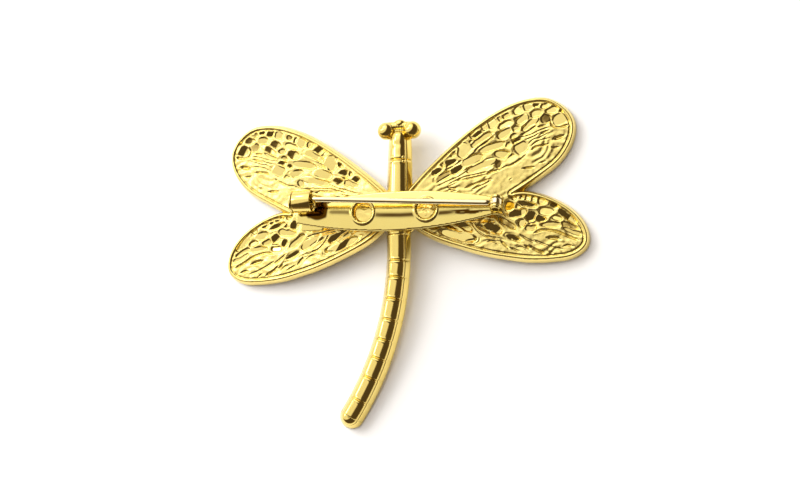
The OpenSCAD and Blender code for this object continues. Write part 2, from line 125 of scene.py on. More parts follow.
def lathe(profile, steps=96, a0=0.0, a1=360.0):
    """Turns a closed (radius, height) profile about Z. Under a full turn, the two ends are capped."""
    full = abs(a1 - a0 - 360) < 1e-6
    n = steps if full else steps + 1
    k = len(profile)
    verts = []
    for i in range(n):
        a = math.radians(a0 + (a1 - a0) * i / steps)
        verts += [(r * math.cos(a), r * math.sin(a), z) for r, z in profile]
    faces = grid_faces(n, k, close_rows=full, close_cols=True)
    if not full:
        faces += [tuple(range(k)), tuple(range((n - 1) * k, n * k))[::-1]]
    return np.array(verts), faces


def rounded(points, radius, steps=4):
    """A closed (x, y) outline with its corners rounded, each by radius or by its own third value."""
    out, n = [], len(points)
    for i in range(n):
        p = np.array(points[i][:2], float)
        a = np.array(points[i - 1][:2], float) - p
        b = np.array(points[(i + 1) % n][:2], float) - p
        la, lb = np.linalg.norm(a), np.linalg.norm(b)
        a, b = a / la, b / lb
        half = math.acos(max(-1, min(1, float(a @ b)))) / 2
        r = points[i][2] if len(points[i]) > 2 else radius
        cut = min(r / math.tan(half), 0.49 * la, 0.49 * lb) if r > 0 else 0
        if cut < 1e-6:
            out.append(tuple(p))
            continue
        r = cut * math.tan(half)
        c = p + (a + b) / np.linalg.norm(a + b) * r / math.sin(half)
        u, v = p + a * cut - c, p + b * cut - c
        turn = math.atan2(u[0] * v[1] - u[1] * v[0], float(u @ v))
        for k in range(steps + 1):
            t = turn * k / steps
            out.append((c[0] + u[0] * math.cos(t) - u[1] * math.sin(t),
                        c[1] + u[0] * math.sin(t) + u[1] * math.cos(t)))
    return out


# uneven surfaces
NOISE_CELLS = 64


def noise(x, y, seed):
    """Smooth random heights, about -1 to 1, one lump a unit."""
    table = np.random.default_rng(seed).uniform(-1, 1, (NOISE_CELLS, NOISE_CELLS))

    def corner(i, j):
        return table[i % NOISE_CELLS, j % NOISE_CELLS]

    i, j = np.floor(x).astype(int), np.floor(y).astype(int)
    u, v = x - i, y - j
    u, v = u * u * u * (u * (u * 6 - 15) + 10), v * v * v * (v * (v * 6 - 15) + 10)
    return ((corner(i, j) * (1 - u) + corner(i + 1, j) * u) * (1 - v)
            + (corner(i, j + 1) * (1 - u) + corner(i + 1, j + 1) * u) * v)


def step(x, a, b):
    """0 below a, 1 above b, and a soft rise between."""
    t = np.clip((x - a) / (b - a), 0, 1)
    return t * t * (3 - 2 * t)


def rounding(d, r):
    """How far a rounded edge of radius r lies under its flat face, at distance d from the edge."""
    return r - np.sqrt(np.maximum(r * r - (r - np.minimum(d, r)) ** 2, 0))


# wing outlines
def smooth_column(table, column, s):
    """A column of an edge table at the shares s, round where the wing ends."""
    rows = [(r[0], r[column] / math.sqrt(1 - r[0])) for r in table]
    rows.append((1.0, table[-1][column] / math.sqrt(1 - table[-1][0])))
    x = np.array([r[0] for r in rows])
    y = np.array([r[1] for r in rows])
    n = len(rows)
    slopes = np.array([(y[min(i + 1, n - 1)] - y[max(i - 1, 0)])
                       / (x[min(i + 1, n - 1)] - x[max(i - 1, 0)]) for i in range(n)])
    i = np.clip(np.searchsorted(x, s, side="right") - 1, 0, n - 2)
    d = x[i + 1] - x[i]
    u = (s - x[i]) / d
    v = 1 - u
    return (v * v * ((1 + 2 * u) * y[i] + u * d * slopes[i])
            + u * u * ((1 + 2 * v) * y[i + 1] - v * d * slopes[i + 1])) * np.sqrt(np.maximum(1 - s, 0))


def wing_outline(table, root, length, sweep, front, rear):
    """Outline of one wing; front and rear are its greatest reaches to each side of its axis."""
    s = 1 - (1 - np.linspace(0, 1, 260)) ** 2
    top = np.stack([s * length, front * smooth_column(table, 1, s)], 1)
    low = np.stack([s * length, -rear * smooth_column(table, 2, s)], 1)[-2::-1]
    p = np.vstack([top, low])
    m = rot("Z", sweep)[:2, :2]
    return p @ m.T + np.array(root)


def resample(loop, spacing):
    """The same closed outline with even spacing."""
    p = np.vstack([loop, loop[:1]])
    d = np.concatenate([[0], np.cumsum(np.linalg.norm(np.diff(p, axis=0), axis=1))])
    n = max(8, int(round(d[-1] / spacing)))
    t = np.linspace(0, d[-1], n, endpoint=False)
    return np.stack([np.interp(t, d, p[:, 0]), np.interp(t, d, p[:, 1])], 1)


def inside(points, loop):
    """Which points lie inside a closed outline."""
    x, y = points[:, 0], points[:, 1]
    out = np.zeros(len(points), bool)
    for (x0, y0), (x1, y1) in zip(loop, np.roll(loop, -1, 0)):
        if y0 == y1:
            continue
        out ^= ((y0 > y) != (y1 > y)) & (x < (x1 - x0) * (y - y0) / (y1 - y0) + x0)
    return out


def distance(points, lines):
    """Distance of each point from the nearest of the segments (x0, y0, x1, y1)."""
    best = np.full(len(points), 1e9)
    a, b = lines[:, :2], lines[:, 2:]
    d = b - a
    dd = np.maximum((d ** 2).sum(1), 1e-12)
    for i in range(0, len(points), 4000):
        p = points[i:i + 4000]
        t = np.clip(((p[:, None] - a) * d).sum(2) / dd, 0, 1)
        q = a + t[:, :, None] * d
        best[i:i + 4000] = np.sqrt(((p[:, None] - q) ** 2).sum(2)).min(1)
    return best


def triangulate(loops, points):
    """Triangles over the area inside the outer loops, with the free points inside it."""
    verts, faces, n = [], [], 0
    for loop in loops:
        verts += [tuple(p) for p in loop]
        faces.append(list(range(n, n + len(loop))))
        n += len(loop)
    verts += [tuple(p) for p in points]
    v, _, f, _, _, _ = delaunay_2d_cdt([Vector(p) for p in verts], [], faces, 1, 1e-6)
    v = np.array([(p.x, p.y) for p in v])
    f = np.array([q for q in f if len(q) == 3], int)
    a = v[f[:, 1]] - v[f[:, 0]]
    b = v[f[:, 2]] - v[f[:, 0]]
    cw = a[:, 0] * b[:, 1] - a[:, 1] * b[:, 0] < 0
    f[cw] = f[cw][:, ::-1]
    return v, f


def boundary(faces):
    """Ordered boundary loops of a triangulation, anticlockwise outside."""
    edges = {}
    for f in faces:
        for i in range(3):
            edges[(f[i], f[(i + 1) % 3])] = True
    nxt = {a: b for a, b in edges if (b, a) not in edges}
    loops = []
    while nxt:
        a, b = next(iter(nxt.items()))
        loop = [a]
        del nxt[a]
        while b != loop[0]:
            loop.append(b)
            c = nxt.pop(b, None)
            if c is None:
                break
            b = c
        loops.append(loop)
    return sorted(loops, key=len, reverse=True)


def hex_points(x0, x1, y0, y1, spacing):
    """Points of an even triangular grid over a rectangle."""
    ys = np.arange(y0, y1, spacing * 0.866)
    xs = np.arange(x0, x1, spacing)
    return np.vstack([np.column_stack([xs + (spacing / 2 if j % 2 else 0), np.full(len(xs), y)])
                      for j, y in enumerate(ys)])


# how far a cell reaches outside its chart, half of the least vein between two, and how far its edge
# is felt, mm
GROW, VEIN, CELL_REACH = 0.07, 0.10, 2.2
CELL_POWER = 2.5    # between an ellipse, 2, and a box
# heights on a wing, mm: the land between the cells, its swell where there is room, and the cells' floors
LAND, LAND_RISE = -0.13, 0.07
CELL_DEPTH, CELL_LOW, CELL_HIGH = 0.20, -0.44, -0.06
RIPPLE, RIPPLES = 0.042, 5.0    # height, and how many there are in a charted unit across

# wing relief, charted, with places in thousandths of a wing's length and of UNIT across it
# cell: place along, place across, half length, half width, turn in degrees, depth as a factor
# groove: places along and across, then its width and depth in mm
FORE_CELLS = [
    (235, 300, 30, 75, 5, 0.6), (278, 370, 12, 55, 15, 1.0), (320, 330, 33, 95, -5, 0.7),
    (362, 510, 29, 40, 22, 1.0), (250, 110, 45, 75, 2, 0.5), (335, 120, 35, 85, 8, 0.6),
    (410, 470, 40, 170, 22, 0.8), (330, 235, 45, 30, 2, 0.6), (430, 150, 58, 105, -3, 0.7),
    (505, 690, 45, 85, 10, 0.8), (518, 505, 65, 75, 8, 1.0), (467, 630, 12, 90, 10, 0.7),
    (460, -80, 85, 75, -5, 0.5), (560, 745, 22, 60, 14, 1.0), (555, 215, 72, 80, -10, 1.0),
    (500, 375, 85, 30, 10, 0.5), (613, 735, 27, 115, 18, 0.8), (587, -55, 40, 85, -32, 1.0),
    (545, -245, 19, 65, 38, 1.0), (656, 760, 7, 70, 8, 0.8), (694, 755, 17, 50, 0, 1.0),
    (668, 570, 36, 72, -4, 1.1), (645, 385, 41, 90, 6, 1.1), (711, 375, 18, 60, 0, 1.1),
    (684, 222, 16, 45, 0, 0.9), (687, 95, 28, 60, -5, 1.1), (690, -115, 35, 135, 4, 0.8),
    (764, 745, 24, 85, -8, 1.0), (762, 500, 36, 82, 4, 1.1), (790, 300, 55, 68, 12, 0.9),
    (770, 175, 40, 28, 8, 0.7), (845, 470, 29, 88, -10, 1.1), (820, 720, 24, 80, -12, 0.7),
    (903, 545, 23, 52, -22, 1.1), (926, 375, 32, 75, -14, 1.0), (876, 255, 26, 105, -28, 0.8),
    (967, 255, 10, 30, -20, 1.0), (945, 85, 42, 130, 0, 0.55), (865, 660, 20, 35, -22, 0.7),
    (640, 100, 18, 40, 0, 0.5), (620, -200, 20, 50, -20, 0.5),
]
FORE_GROOVES = [
    ([(905, 220), (893, 80), (903, -40), (935, -110), (968, -135)], 0.19, 0.3),
    ([(815, 155), (845, 125), (865, 100)], 0.12, 0.22), ([(815, -50), (845, -35), (865, -55)], 0.11, 0.2),
    ([(732, -290), (760, -265), (790, -300), (828, -350)], 0.11, 0.22),
    ([(862, -290), (890, -310), (922, -335)], 0.22, 0.28),
    ([(648, -600), (680, -655), (708, -700)], 0.14, 0.26), ([(740, -660), (775, -700)], 0.1, 0.16),
    ([(836, -450), (852, -500), (875, -530)], 0.11, 0.18),
    ([(520, -380), (570, -370), (600, -400), (650, -385), (700, -330)], 0.11, 0.16),
    ([(250, -170), (262, -300), (285, -370)], 0.12, 0.18),
    ([(245, -200), (275, -270), (290, -370)], 0.1, 0.14),
    ([(300, -120), (380, -240), (460, -320), (540, -370)], 0.14, 0.18),
    ([(260, -130), (340, -140), (400, -200), (480, -300)], 0.1, 0.14),
    ([(330, -400), (400, -420), (470, -470)], 0.12, 0.18),
    ([(360, -500), (420, -530), (480, -510)], 0.12, 0.14), ([(360, 0), (420, 30), (480, 50)], 0.08, 0.15),
    ([(200, 30), (260, 60), (310, 70)], 0.08, 0.15),
    ([(200, -50), (260, -55), (330, -70), (380, -30), (385, 50)], 0.08, 0.13),
    ([(352, -700), (380, -770), (415, -860)], 0.16, 0.22), ([(440, -950), (480, -1020)], 0.13, 0.2),
    ([(455, -550), (465, -470), (480, -520)], 0.09, 0.12), ([(560, -710), (575, -700)], 0.12, 0.12),
    ([(700, 130), (760, 60), (820, 50), (870, 20)], 0.09, 0.12),
    ([(730, 0), (780, -20), (810, 0)], 0.09, 0.12),
    ([(730, -130), (770, -80), (800, -110), (850, -100)], 0.09, 0.12),
    ([(740, -200), (790, -170), (850, -230)], 0.09, 0.12),
]
HIND_CELLS = [
    (562, 560, 25, 125, -14, 0.7), (578, 805, 13, 65, 0, 1.0), (655, 680, 48, 52, -3, 1.1),
    (608, 435, 52, 90, 20, 1.0), (650, 825, 14, 45, 10, 1.0), (682, 825, 11, 45, 0, 0.9),
    (728, 815, 18, 70, 0, 1.0), (797, 755, 19, 62, 0, 1.0), (762, 575, 38, 95, 4, 1.0),
    (870, 540, 66, 56, -29, 1.1), (820, 450, 28, 58, -8, 1.1), (738, 370, 26, 62, -6, 1.1),
    (682, 400, 24, 125, -20, 1.0), (640, 210, 18, 85, 0, 1.1), (692, 135, 28, 65, 18, 1.0),
    (696, 235, 18, 22, 22, 1.0), (795, 280, 50, 58, 8, 1.0), (895, 305, 46, 55, -13, 1.1),
    (915, 190, 50, 48, -14, 0.6), (562, 155, 54, 60, -24, 1.0), (605, 580, 12, 50, -40, 0.9),
    (485, 20, 60, 90, -20, 0.55), (310, -15, 75, 85, -22, 0.5), (285, -150, 50, 55, -12, 0.7),
    (310, -315, 95, 95, -6, 0.6), (605, -165, 40, 40, -12, 0.8), (620, 825, 10, 35, 20, 0.8),
]
HIND_GROOVES = [
    ([(715, 10), (735, 70), (765, 120), (820, 125), (880, 70), (955, -15)], 0.16, 0.26),
    ([(785, -55), (825, -45), (860, -55)], 0.22, 0.24),
    ([(880, -210), (900, -170), (935, -180)], 0.14, 0.18),
    ([(700, -300), (735, -380), (790, -450)], 0.17, 0.22),
    ([(675, -310), (700, -360), (715, -355)], 0.14, 0.2), ([(400, 0), (440, -50), (495, -130)], 0.3, 0.24),
    ([(370, 50), (400, -80), (430, -180), (470, -240), (530, -260)], 0.1, 0.16),
    ([(395, -260), (410, -310), (400, -360), (360, -410)], 0.14, 0.26),
    ([(430, -300), (430, -380), (410, -440)], 0.09, 0.14),
    ([(545, -270), (560, -340), (595, -450)], 0.14, 0.2),
    ([(600, -420), (635, -460), (660, -490)], 0.12, 0.16),
    ([(635, -400), (660, -370), (700, -440)], 0.1, 0.13),
    ([(470, -380), (500, -330), (540, -380)], 0.1, 0.14),
    ([(580, -200), (620, -240), (660, -270)], 0.09, 0.14),
    ([(640, -70), (680, -150), (730, -220)], 0.11, 0.13),
    ([(720, -160), (770, -220), (830, -270), (880, -280)], 0.13, 0.13),
    ([(800, -360), (840, -420)], 0.12, 0.14), ([(330, 120), (420, 150), (500, 160)], 0.1, 0.14),
    ([(300, 40), (380, 90), (450, 130), (510, 100)], 0.08, 0.12),
]


def local(points, root, sweep, length):
    """Each point's share along a wing and its place across it, as charted."""
    m = rot("Z", sweep)[:2, :2]
    q = (points - np.array(root)) @ m
    return q[:, 0] / length, q[:, 1] / UNIT


def cell_field(s, t, cells, length, wobble, tilts):
    """How far inside a cell each point lies, and the nearest cell's depth, distance and tilt."""
    best = np.full(len(s), 9.0)
    second = np.full(len(s), 9.0)
    depth = np.zeros(len(s))
    tilt = np.zeros(len(s))
    x, y = s * length, t * UNIT
    for (cs, ct, hl, hw, turn, d), (gx, gy) in zip(cells, tilts):
        hl, hw = hl + GROW / length, hw + GROW / UNIT
        a = math.radians(turn)
        u = (x - cs * length) * math.cos(a) + (y - ct * UNIT) * math.sin(a)
        v = -(x - cs * length) * math.sin(a) + (y - ct * UNIT) * math.cos(a)
        near = (np.abs(u) < hl * length + CELL_REACH) & (np.abs(v) < hw * UNIT + CELL_REACH)
        uu, vv = u[near] / (hl * length), v[near] / (hw * UNIT)
        e = (np.abs(uu) ** CELL_POWER + np.abs(vv) ** CELL_POWER) ** (1 / CELL_POWER)
        r = np.hypot(u[near], v[near])
        deepest = -min(hl * length, hw * UNIT)
        sd = np.where(e > 1e-3, r * (1 - 1 / np.maximum(e, 1e-3)), deepest)
        sd = np.maximum(sd, deepest) + wobble[near]
        b = best[near]
        closer = sd < b
        second[near] = np.where(closer, b, np.minimum(second[near], sd))
        depth[near] = np.where(closer, d, depth[near])
        rise = gx * (x[near] - cs * length) + gy * (y[near] - ct * UNIT)
        tilt[near] = np.where(closer, rise, tilt[near])
        best[near] = np.where(closer, sd, b)
    middle = (second - best) / 2
    cut = np.minimum(-best, middle - VEIN)
    return cut, depth, best, tilt


def groove_field(s, t, grooves, length):
    """Height of the charted grooves, each with a faint lip."""
    x = np.stack([s * length, t * UNIT], 1)
    out = np.zeros(len(s))
    for line, width, deep in grooves:
        p = np.array(line) / 1000 * np.array([length, UNIT])
        # a smooth curve through the charted points
        k = np.linspace(0, len(p) - 1, 8 * len(p))
        i = np.clip(k.astype(int), 0, len(p) - 2)
        f = (k - i)[:, None]
        before, after = p[np.maximum(i - 1, 0)], p[np.minimum(i + 2, len(p) - 1)]
        c = 0.5 * (2 * p[i] + (p[i + 1] - before) * f
                   + (2 * before - 5 * p[i] + 4 * p[i + 1] - after) * f ** 2
                   + (3 * p[i] - before - 3 * p[i + 1] + after) * f ** 3)
        near = ((x[:, 0] > c[:, 0].min() - 1) & (x[:, 0] < c[:, 0].max() + 1)
                & (x[:, 1] > c[:, 1].min() - 1) & (x[:, 1] < c[:, 1].max() + 1))
        d = distance(x[near], np.hstack([c[:-1], c[1:]]))
        ends = np.minimum(*[np.linalg.norm(x[near] - end, axis=1) for end in (c[0], c[-1])])
        taper = 0.45 + 0.55 * step(ends, 0, 0.5)
        w = width * taper
        g = np.exp(-(d / w) ** 2)
        lip = np.exp(-((d - 1.9 * w) / (0.8 * w)) ** 2)
        out[near] = np.minimum(out[near], -deep * taper * g) + 0.12 * deep * lip
    return out


def relief(points, seed, jitter, lean, spread):
    """Height of the back of a wing pair under its rim, from the charts, and where it is satin."""
    rng = np.random.default_rng(seed)
    px, py = points[:, 0], points[:, 1]
    wobble = 0.05 * noise(px * 1.3, py * 1.3, seed) + 0.02 * noise(px * 3.1, py * 3.1, seed + 1)
    cut = np.full(len(points), -9.0)
    depth = np.zeros(len(points))
    tilt = np.zeros(len(points))
    nearest = np.full(len(points), 9.0)
    grooves = np.zeros(len(points))
    for table, lines, root, sweep, length in (
            (FORE_CELLS, FORE_GROOVES, FORE_ROOT, FORE_SWEEP, FORE_LEN),
            (HIND_CELLS, HIND_GROOVES, HIND_ROOT, HIND_SWEEP, HIND_LEN)):
        s, t = local(points, root, sweep, length)
        shake = rng.normal(0, jitter, (len(table), 2))
        cells = [(at / 1000 + k[0] * 0.5, over / 1000 + k[1] * 2, long / 1000, wide / 1000, turn, deep)
                 for (at, over, long, wide, turn, deep), k in zip(table, shake)]
        tilts = np.array(lean) * rng.uniform(0.1, 1.3, (len(table), 1))
        tilts = (tilts + rng.normal(0, spread, (len(table), 2))) @ rot("Z", sweep)[:2, :2]
        c, d, b, r = cell_field(s, t, cells, length, wobble, tilts)
        better = c > cut
        cut = np.where(better, c, cut)
        depth = np.where(better, d, depth)
        tilt = np.where(better, r, tilt)
        nearest = np.minimum(nearest, b)
        grooves = np.minimum(grooves, groove_field(s, t, lines, length))
    pit = step(cut, -0.08, 0.13)
    # land between the cells is a rounded vein, and swells where there is room
    land = LAND + LAND_RISE * step(nearest, 0.05, 0.55)
    # flowing ridges run along each wing in its rear half
    s, t = local(points, FORE_ROOT, FORE_SWEEP, FORE_LEN)
    s2, t2 = local(points, HIND_ROOT, HIND_SWEEP, HIND_LEN)
    fore_side = py > -1.2 + (px - 15.6) * 0.3
    ss, tt = np.where(fore_side, s, s2), np.where(fore_side, t, t2)
    flow = tt * RIPPLES + 1.1 * noise(ss * 8, tt * 2.2, seed + 7) + 0.4 * noise(ss * 20, tt * 5, seed + 8)
    flow = flow + 2.5 * (ss - 0.6) ** 2
    ripple = np.sin(2 * math.pi * flow) * (0.5 + 0.5 * noise(ss * 12, tt * 4, seed + 9))
    room = step(nearest, 0.12, 0.7)
    land = land + room * RIPPLE * ripple * step(-tt, -0.28, 0.05)
    land = land + 0.03 * noise(px * 0.8, py * 0.8, seed + 2) + 0.018 * noise(px * 2.1, py * 2.1, seed + 3)
    floor = np.clip(LAND - CELL_DEPTH * depth + tilt, CELL_LOW, CELL_HIGH)
    floor = floor + 0.006 * noise(px * 1.7, py * 1.7, seed + 5)
    h = (land + grooves) * (1 - pit) + (floor + 0.4 * grooves) * pit
    return h, 1 - pit


# spacing of the points on a wing's edge, its back and its plain front, mm
LOOP_SPACING, WING_SPACING, PLAIN_SPACING = 0.09, 0.092, 0.9
WING_BOX = (0.5, 28, -15, 14.5)
WING_SEED = 3
EDGE_R, FOOT_R = 0.13, 0.14     # rounding of the back and the front edge
NOTCH_X, RIB_W, RIB_TOP = 15.2, 0.17, -0.06
fore_loop = resample(
    wing_outline(FORE_EDGE, FORE_ROOT, FORE_LEN, FORE_SWEEP, FORE_FRONT, FORE_REAR), LOOP_SPACING)
hind_loop = resample(
    wing_outline(HIND_EDGE, HIND_ROOT, HIND_LEN, HIND_SWEEP, HIND_FRONT, HIND_REAR), LOOP_SPACING)
union_lines = np.vstack([
    np.hstack([a, np.roll(a, -1, 0)])[~inside(a, b)]
    for a, b in ((fore_loop, hind_loop), (hind_loop, fore_loop))])


def wing_grid(spacing, gap):
    """Points over the wing pair, at least gap from its edge."""
    grid = hex_points(*WING_BOX, spacing)
    grid = grid[inside(grid, fore_loop) | inside(grid, hind_loop)]
    return grid[distance(grid, union_lines) > gap]


def wing_pair(name, mirror, jitter, lean, spread):
    """A fore and a hind wing in one shell: charted back, rim, wall and plain front."""
    v, f = triangulate([fore_loop, hind_loop], wing_grid(WING_SPACING, 0.6 * WING_SPACING))
    loop = boundary(f)[0]
    d = distance(v, union_lines)
    # the hindwing's front edge goes on a little way past the notch as a fading rib
    line = hind_loop[inside(hind_loop, fore_loop)]
    line = line[(line[:, 0] > NOTCH_X) & (line[:, 1] > -3)]
    rib_d = np.min(np.linalg.norm(v[:, None] - line[None, ::3], axis=2), axis=1)
    rib = np.exp(-(rib_d / RIB_W) ** 2) * step(v[:, 0], NOTCH_X, NOTCH_X + 2.2)
    h, satin = relief(v, WING_SEED, jitter, lean, spread)
    crown = -rounding(d, EDGE_R) - 0.03 * np.clip((d - 0.22) / 0.2, -1, 1) ** 2
    rim = 1 - step(d, RIM - 0.12, RIM + 0.08)
    # the field falls to its full depth beside the rim
    gutter = -0.16 * np.exp(-((d - RIM - 0.12) / 0.11) ** 2) * (1 - rim)
    h = (h + gutter) * (1 - rim) + crown * rim
    h = h * (1 - rib) + RIB_TOP * rib
    satin = satin * (1 - rim) * (1 - rib)
    h[d < 1e-4] = -EDGE_R
    # outer wall, widening towards the front, with rounded lower edge
    ring = v[loop]
    tangent = np.roll(ring, -1, 0) - np.roll(ring, 1, 0)
    out = np.column_stack([tangent[:, 1], -tangent[:, 0]])
    out /= np.linalg.norm(out, axis=1)[:, None]
    for _ in range(4):
        out = (np.roll(out, 1, 0) + 2 * out + np.roll(out, -1, 0)) / 4
        out /= np.linalg.norm(out, axis=1)[:, None]
    low = WING_T - FOOT_R
    rows = [(z / WING_T * -DRAFT, z) for z in (-0.3, -0.6, -0.85, -low)]
    for a in (20, 45, 70, 90):
        c, q = math.cos(math.radians(a)), math.sin(math.radians(a))
        rows.append((DRAFT * low / WING_T - FOOT_R * (1 - c), -low - FOOT_R * q))
    verts = [np.column_stack([v, h])]
    faces = [tuple(q) for q in f]
    k, count = len(loop), len(v)
    previous = np.array(loop)
    for e, z in rows:
        wobble = 0.012 * noise(ring[:, 0] * 0.7, ring[:, 1] * 0.7 + z * 2, WING_SEED + 20)
        verts.append(np.column_stack([ring + out * (e + wobble)[:, None], np.full(k, z)]))
        now = np.arange(count, count + k)
        faces += [(previous[i], now[i], now[(i + 1) % k], previous[(i + 1) % k]) for i in range(k)]
        previous, count = now, count + k
    # plain front face, on the wall's own last points
    plain_v, plain_f = triangulate([ring], wing_grid(PLAIN_SPACING, 0.5))
    key = {(round(p[0], 5), round(p[1], 5)): i for i, p in enumerate(ring)}
    index, extra = [], []
    for q in plain_v:
        i = key.get((round(q[0], 5), round(q[1], 5)))
        if i is None:
            index.append(count + len(extra))
            extra.append((q[0], q[1], -WING_T))
        else:
            index.append(previous[i])
    verts.append(np.array(extra).reshape(-1, 3))
    faces += [(index[a], index[c], index[b]) for a, b, c in plain_f]
    points = moved(np.vstack(verts), rot("Y", WING_FALL))
    if mirror:
        points = points * np.array([-1, 1, 1])
        faces = [q[::-1] for q in faces]
    ob = add_mesh(name, points, faces)
    point_mask(ob, "satin", satin)
    return ob


# body
TAIL_START, TAIL_LEN, TAIL_R, TAIL_HEADING = (-0.12, -5.4), 28.1, 46.0, 1.2
TAIL_HALF = 1.3
TAIL_FALL = 4.82101
TAIL_JOINTS = [0.135, 0.222, 0.335, 0.445, 0.555, 0.655, 0.765, 0.895]
TAIL_END = 1 - 0.15 / TAIL_LEN      # share at which the round end starts
RIDGE_H, BODY_DRAFT = 0.8, 0.55
TAIL_CROWN = RIDGE_H - 0.07
INSET = 0.03                        # how far the dressed tail stays inside its solid
FOOT_CURVE = (0.3, 0.55, 0.8, 0.95)


def tail_frame(s):
    """Place and heading at a share of the tail's arc."""
    a = math.radians(TAIL_HEADING + s * TAIL_LEN / TAIL_R * 180 / math.pi)
    b = math.radians(TAIL_HEADING)
    p = np.array([-TAIL_R * (math.cos(b) - math.cos(a)), -TAIL_R * (math.sin(a) - math.sin(b)), 0.0])
    return p, a


def section(half, crown, foot):
    """Rounded ridge on a spreading base, anticlockwise, seen along the heading."""
    low, power, n = -WING_T, 2 / 2.1, 24
    flank = [(foot + (half + 0.02 - foot) * k, low + 0.16 + (-low - 0.2) * k) for k in FOOT_CURVE]
    side = [(foot - 0.14, low), (foot - 0.03, low + 0.05), (foot, low + 0.16)]
    side += flank + [(half - 0.015, -0.015)]
    ridge = []
    for i in range(n + 1):
        c, s = math.cos(math.pi * i / n), math.sin(math.pi * i / n)
        ridge.append(((half - 0.06) * math.copysign(abs(c) ** power, c), crown * abs(s) ** power))
    other = [(-x, z) for x, z in side[::-1]]
    return other[-1:] + side + ridge + other[:-1]


def sweep(stations):
    """A capped skin over stations: (origin, heading in radians from +Y about Z, section)."""
    verts, k = [], len(stations[0][2])
    for origin, a, pts in stations:
        side = np.array([math.cos(a), -math.sin(a), 0.0])
        for x, z in pts:
            verts.append(np.array(origin, float) + side * x + np.array([0, 0, z]))
    n = len(stations)
    faces = grid_faces(n, k, close_cols=True)
    faces += [tuple(range(k))[::-1], tuple(range((n - 1) * k, n * k))]
    return np.array(verts), faces


def tail():
    """The ringed tail, and its round end as a second shell."""
    stations = []
    fine = np.unique(np.concatenate([np.linspace(0, 1, 150)]
                     + [j + np.linspace(-0.022, 0.022, 25) for j in TAIL_JOINTS]))
    fine = fine[(fine >= 0) & (fine <= TAIL_END)]
    for s in fine:
        p, a = tail_frame(s)
        mm = [(s - j) * TAIL_LEN for j in TAIL_JOINTS]
        groove = sum(math.exp(-(x / 0.10) ** 2) for x in mm)
        lip = sum(math.exp(-((x - 0.29) / 0.13) ** 2) + 0.6 * math.exp(-((x + 0.27) / 0.10) ** 2) for x in mm)
        # each ring swells a little between its joints
        edges = [0.0] + TAIL_JOINTS + [1.0]
        i = max(k for k in range(len(edges) - 1) if edges[k] <= s)
        u = (s - edges[i]) / (edges[i + 1] - edges[i])
        swell = 0.025 * math.sin(math.pi * u) * (i > 0)
        crown = TAIL_CROWN - 0.2 * groove + 0.045 * lip + swell
        h = TAIL_HALF - INSET - 0.1 * groove + 0.02 * lip + 0.6 * swell
        stations.append((p, a, section(h, crown, TAIL_HALF + BODY_DRAFT - INSET - 0.05 * groove)))
    verts, faces = sweep(stations)
    # round end: the half section turned about its own middle
    p, _ = tail_frame(TAIL_END)
    half = [q for q in section(TAIL_HALF - INSET, TAIL_CROWN, TAIL_HALF + BODY_DRAFT - INSET) if q[0] > 0.03]
    end_verts, end_faces = lathe([(0, -WING_T)] + half + [(0, TAIL_CROWN)], 120)
    end_verts = moved(end_verts, None, p)
    fall = rot("X", TAIL_FALL)
    start = (*TAIL_START, 0)
    return (moved(verts, fall, start), faces), (moved(end_verts, fall, start), end_faces)


NECK_START, NECK_LEN, NECK_LEAN = (0.2, -1.2), 11.0, 3.0
# distance along the neck, half width and height of its ridge, mm
NECK_ROWS = [(-4.3, 1.18, 0.72), (-3.7, 1.30, 0.75), (0, 1.43, 0.78), (6.7, 1.33, 0.78),
             (9.8, 1.2, 0.75), (10.4, 1.12, 0.7), (10.75, 1.0, 0.56), (11, 0.8, 0.3)]
CREASE, HOLLOW = 6.765, 9.0     # places along the neck
PIMPLE_X, PIMPLE_Y, PIMPLE_Z, PIMPLE_R = 0.83, 0.33, 0.47, (0.26, 0.26, 0.24)


def neck_point(y):
    """Place at a distance along the neck, and its heading."""
    a = math.radians(NECK_LEAN)
    return np.array([NECK_START[0] + math.sin(a) * y, NECK_START[1] + math.cos(a) * y, 0.0]), a


def neck():
    """The neck with its crease, four pimples round it and shallow hollows nearer the eyes."""
    table = np.array(NECK_ROWS)
    ys = np.unique(np.concatenate([np.linspace(-4.3, NECK_LEN, 90), CREASE + np.linspace(-0.7, 0.7, 41)]))
    stations = []
    for y in ys:
        p, a = neck_point(y)
        half = float(np.interp(y, table[:, 0], table[:, 1])) - 0.02
        ridge = float(np.interp(y, table[:, 0], table[:, 2]))
        g = math.exp(-((y - CREASE) / 0.15) ** 2)
        lip = math.exp(-((abs(y - CREASE) - 0.4) / 0.2) ** 2)
        hollow = math.exp(-((y - HOLLOW) / 0.35) ** 2)
        crown = ridge - 0.26 * g + 0.02 * lip - 0.05 * hollow
        stations.append((p, a, section(half - 0.1 * g, crown, half + BODY_DRAFT - 0.05 * g)))
    parts = [sweep(stations)]
    for x in (-PIMPLE_X, PIMPLE_X):
        for y in (-PIMPLE_Y, PIMPLE_Y):
            p, a = neck_point(CREASE + y)
            at = p + np.array([x * math.cos(a), -x * math.sin(a), PIMPLE_Z])
            parts.append(ball(at, PIMPLE_R, 24, 12))
    return parts


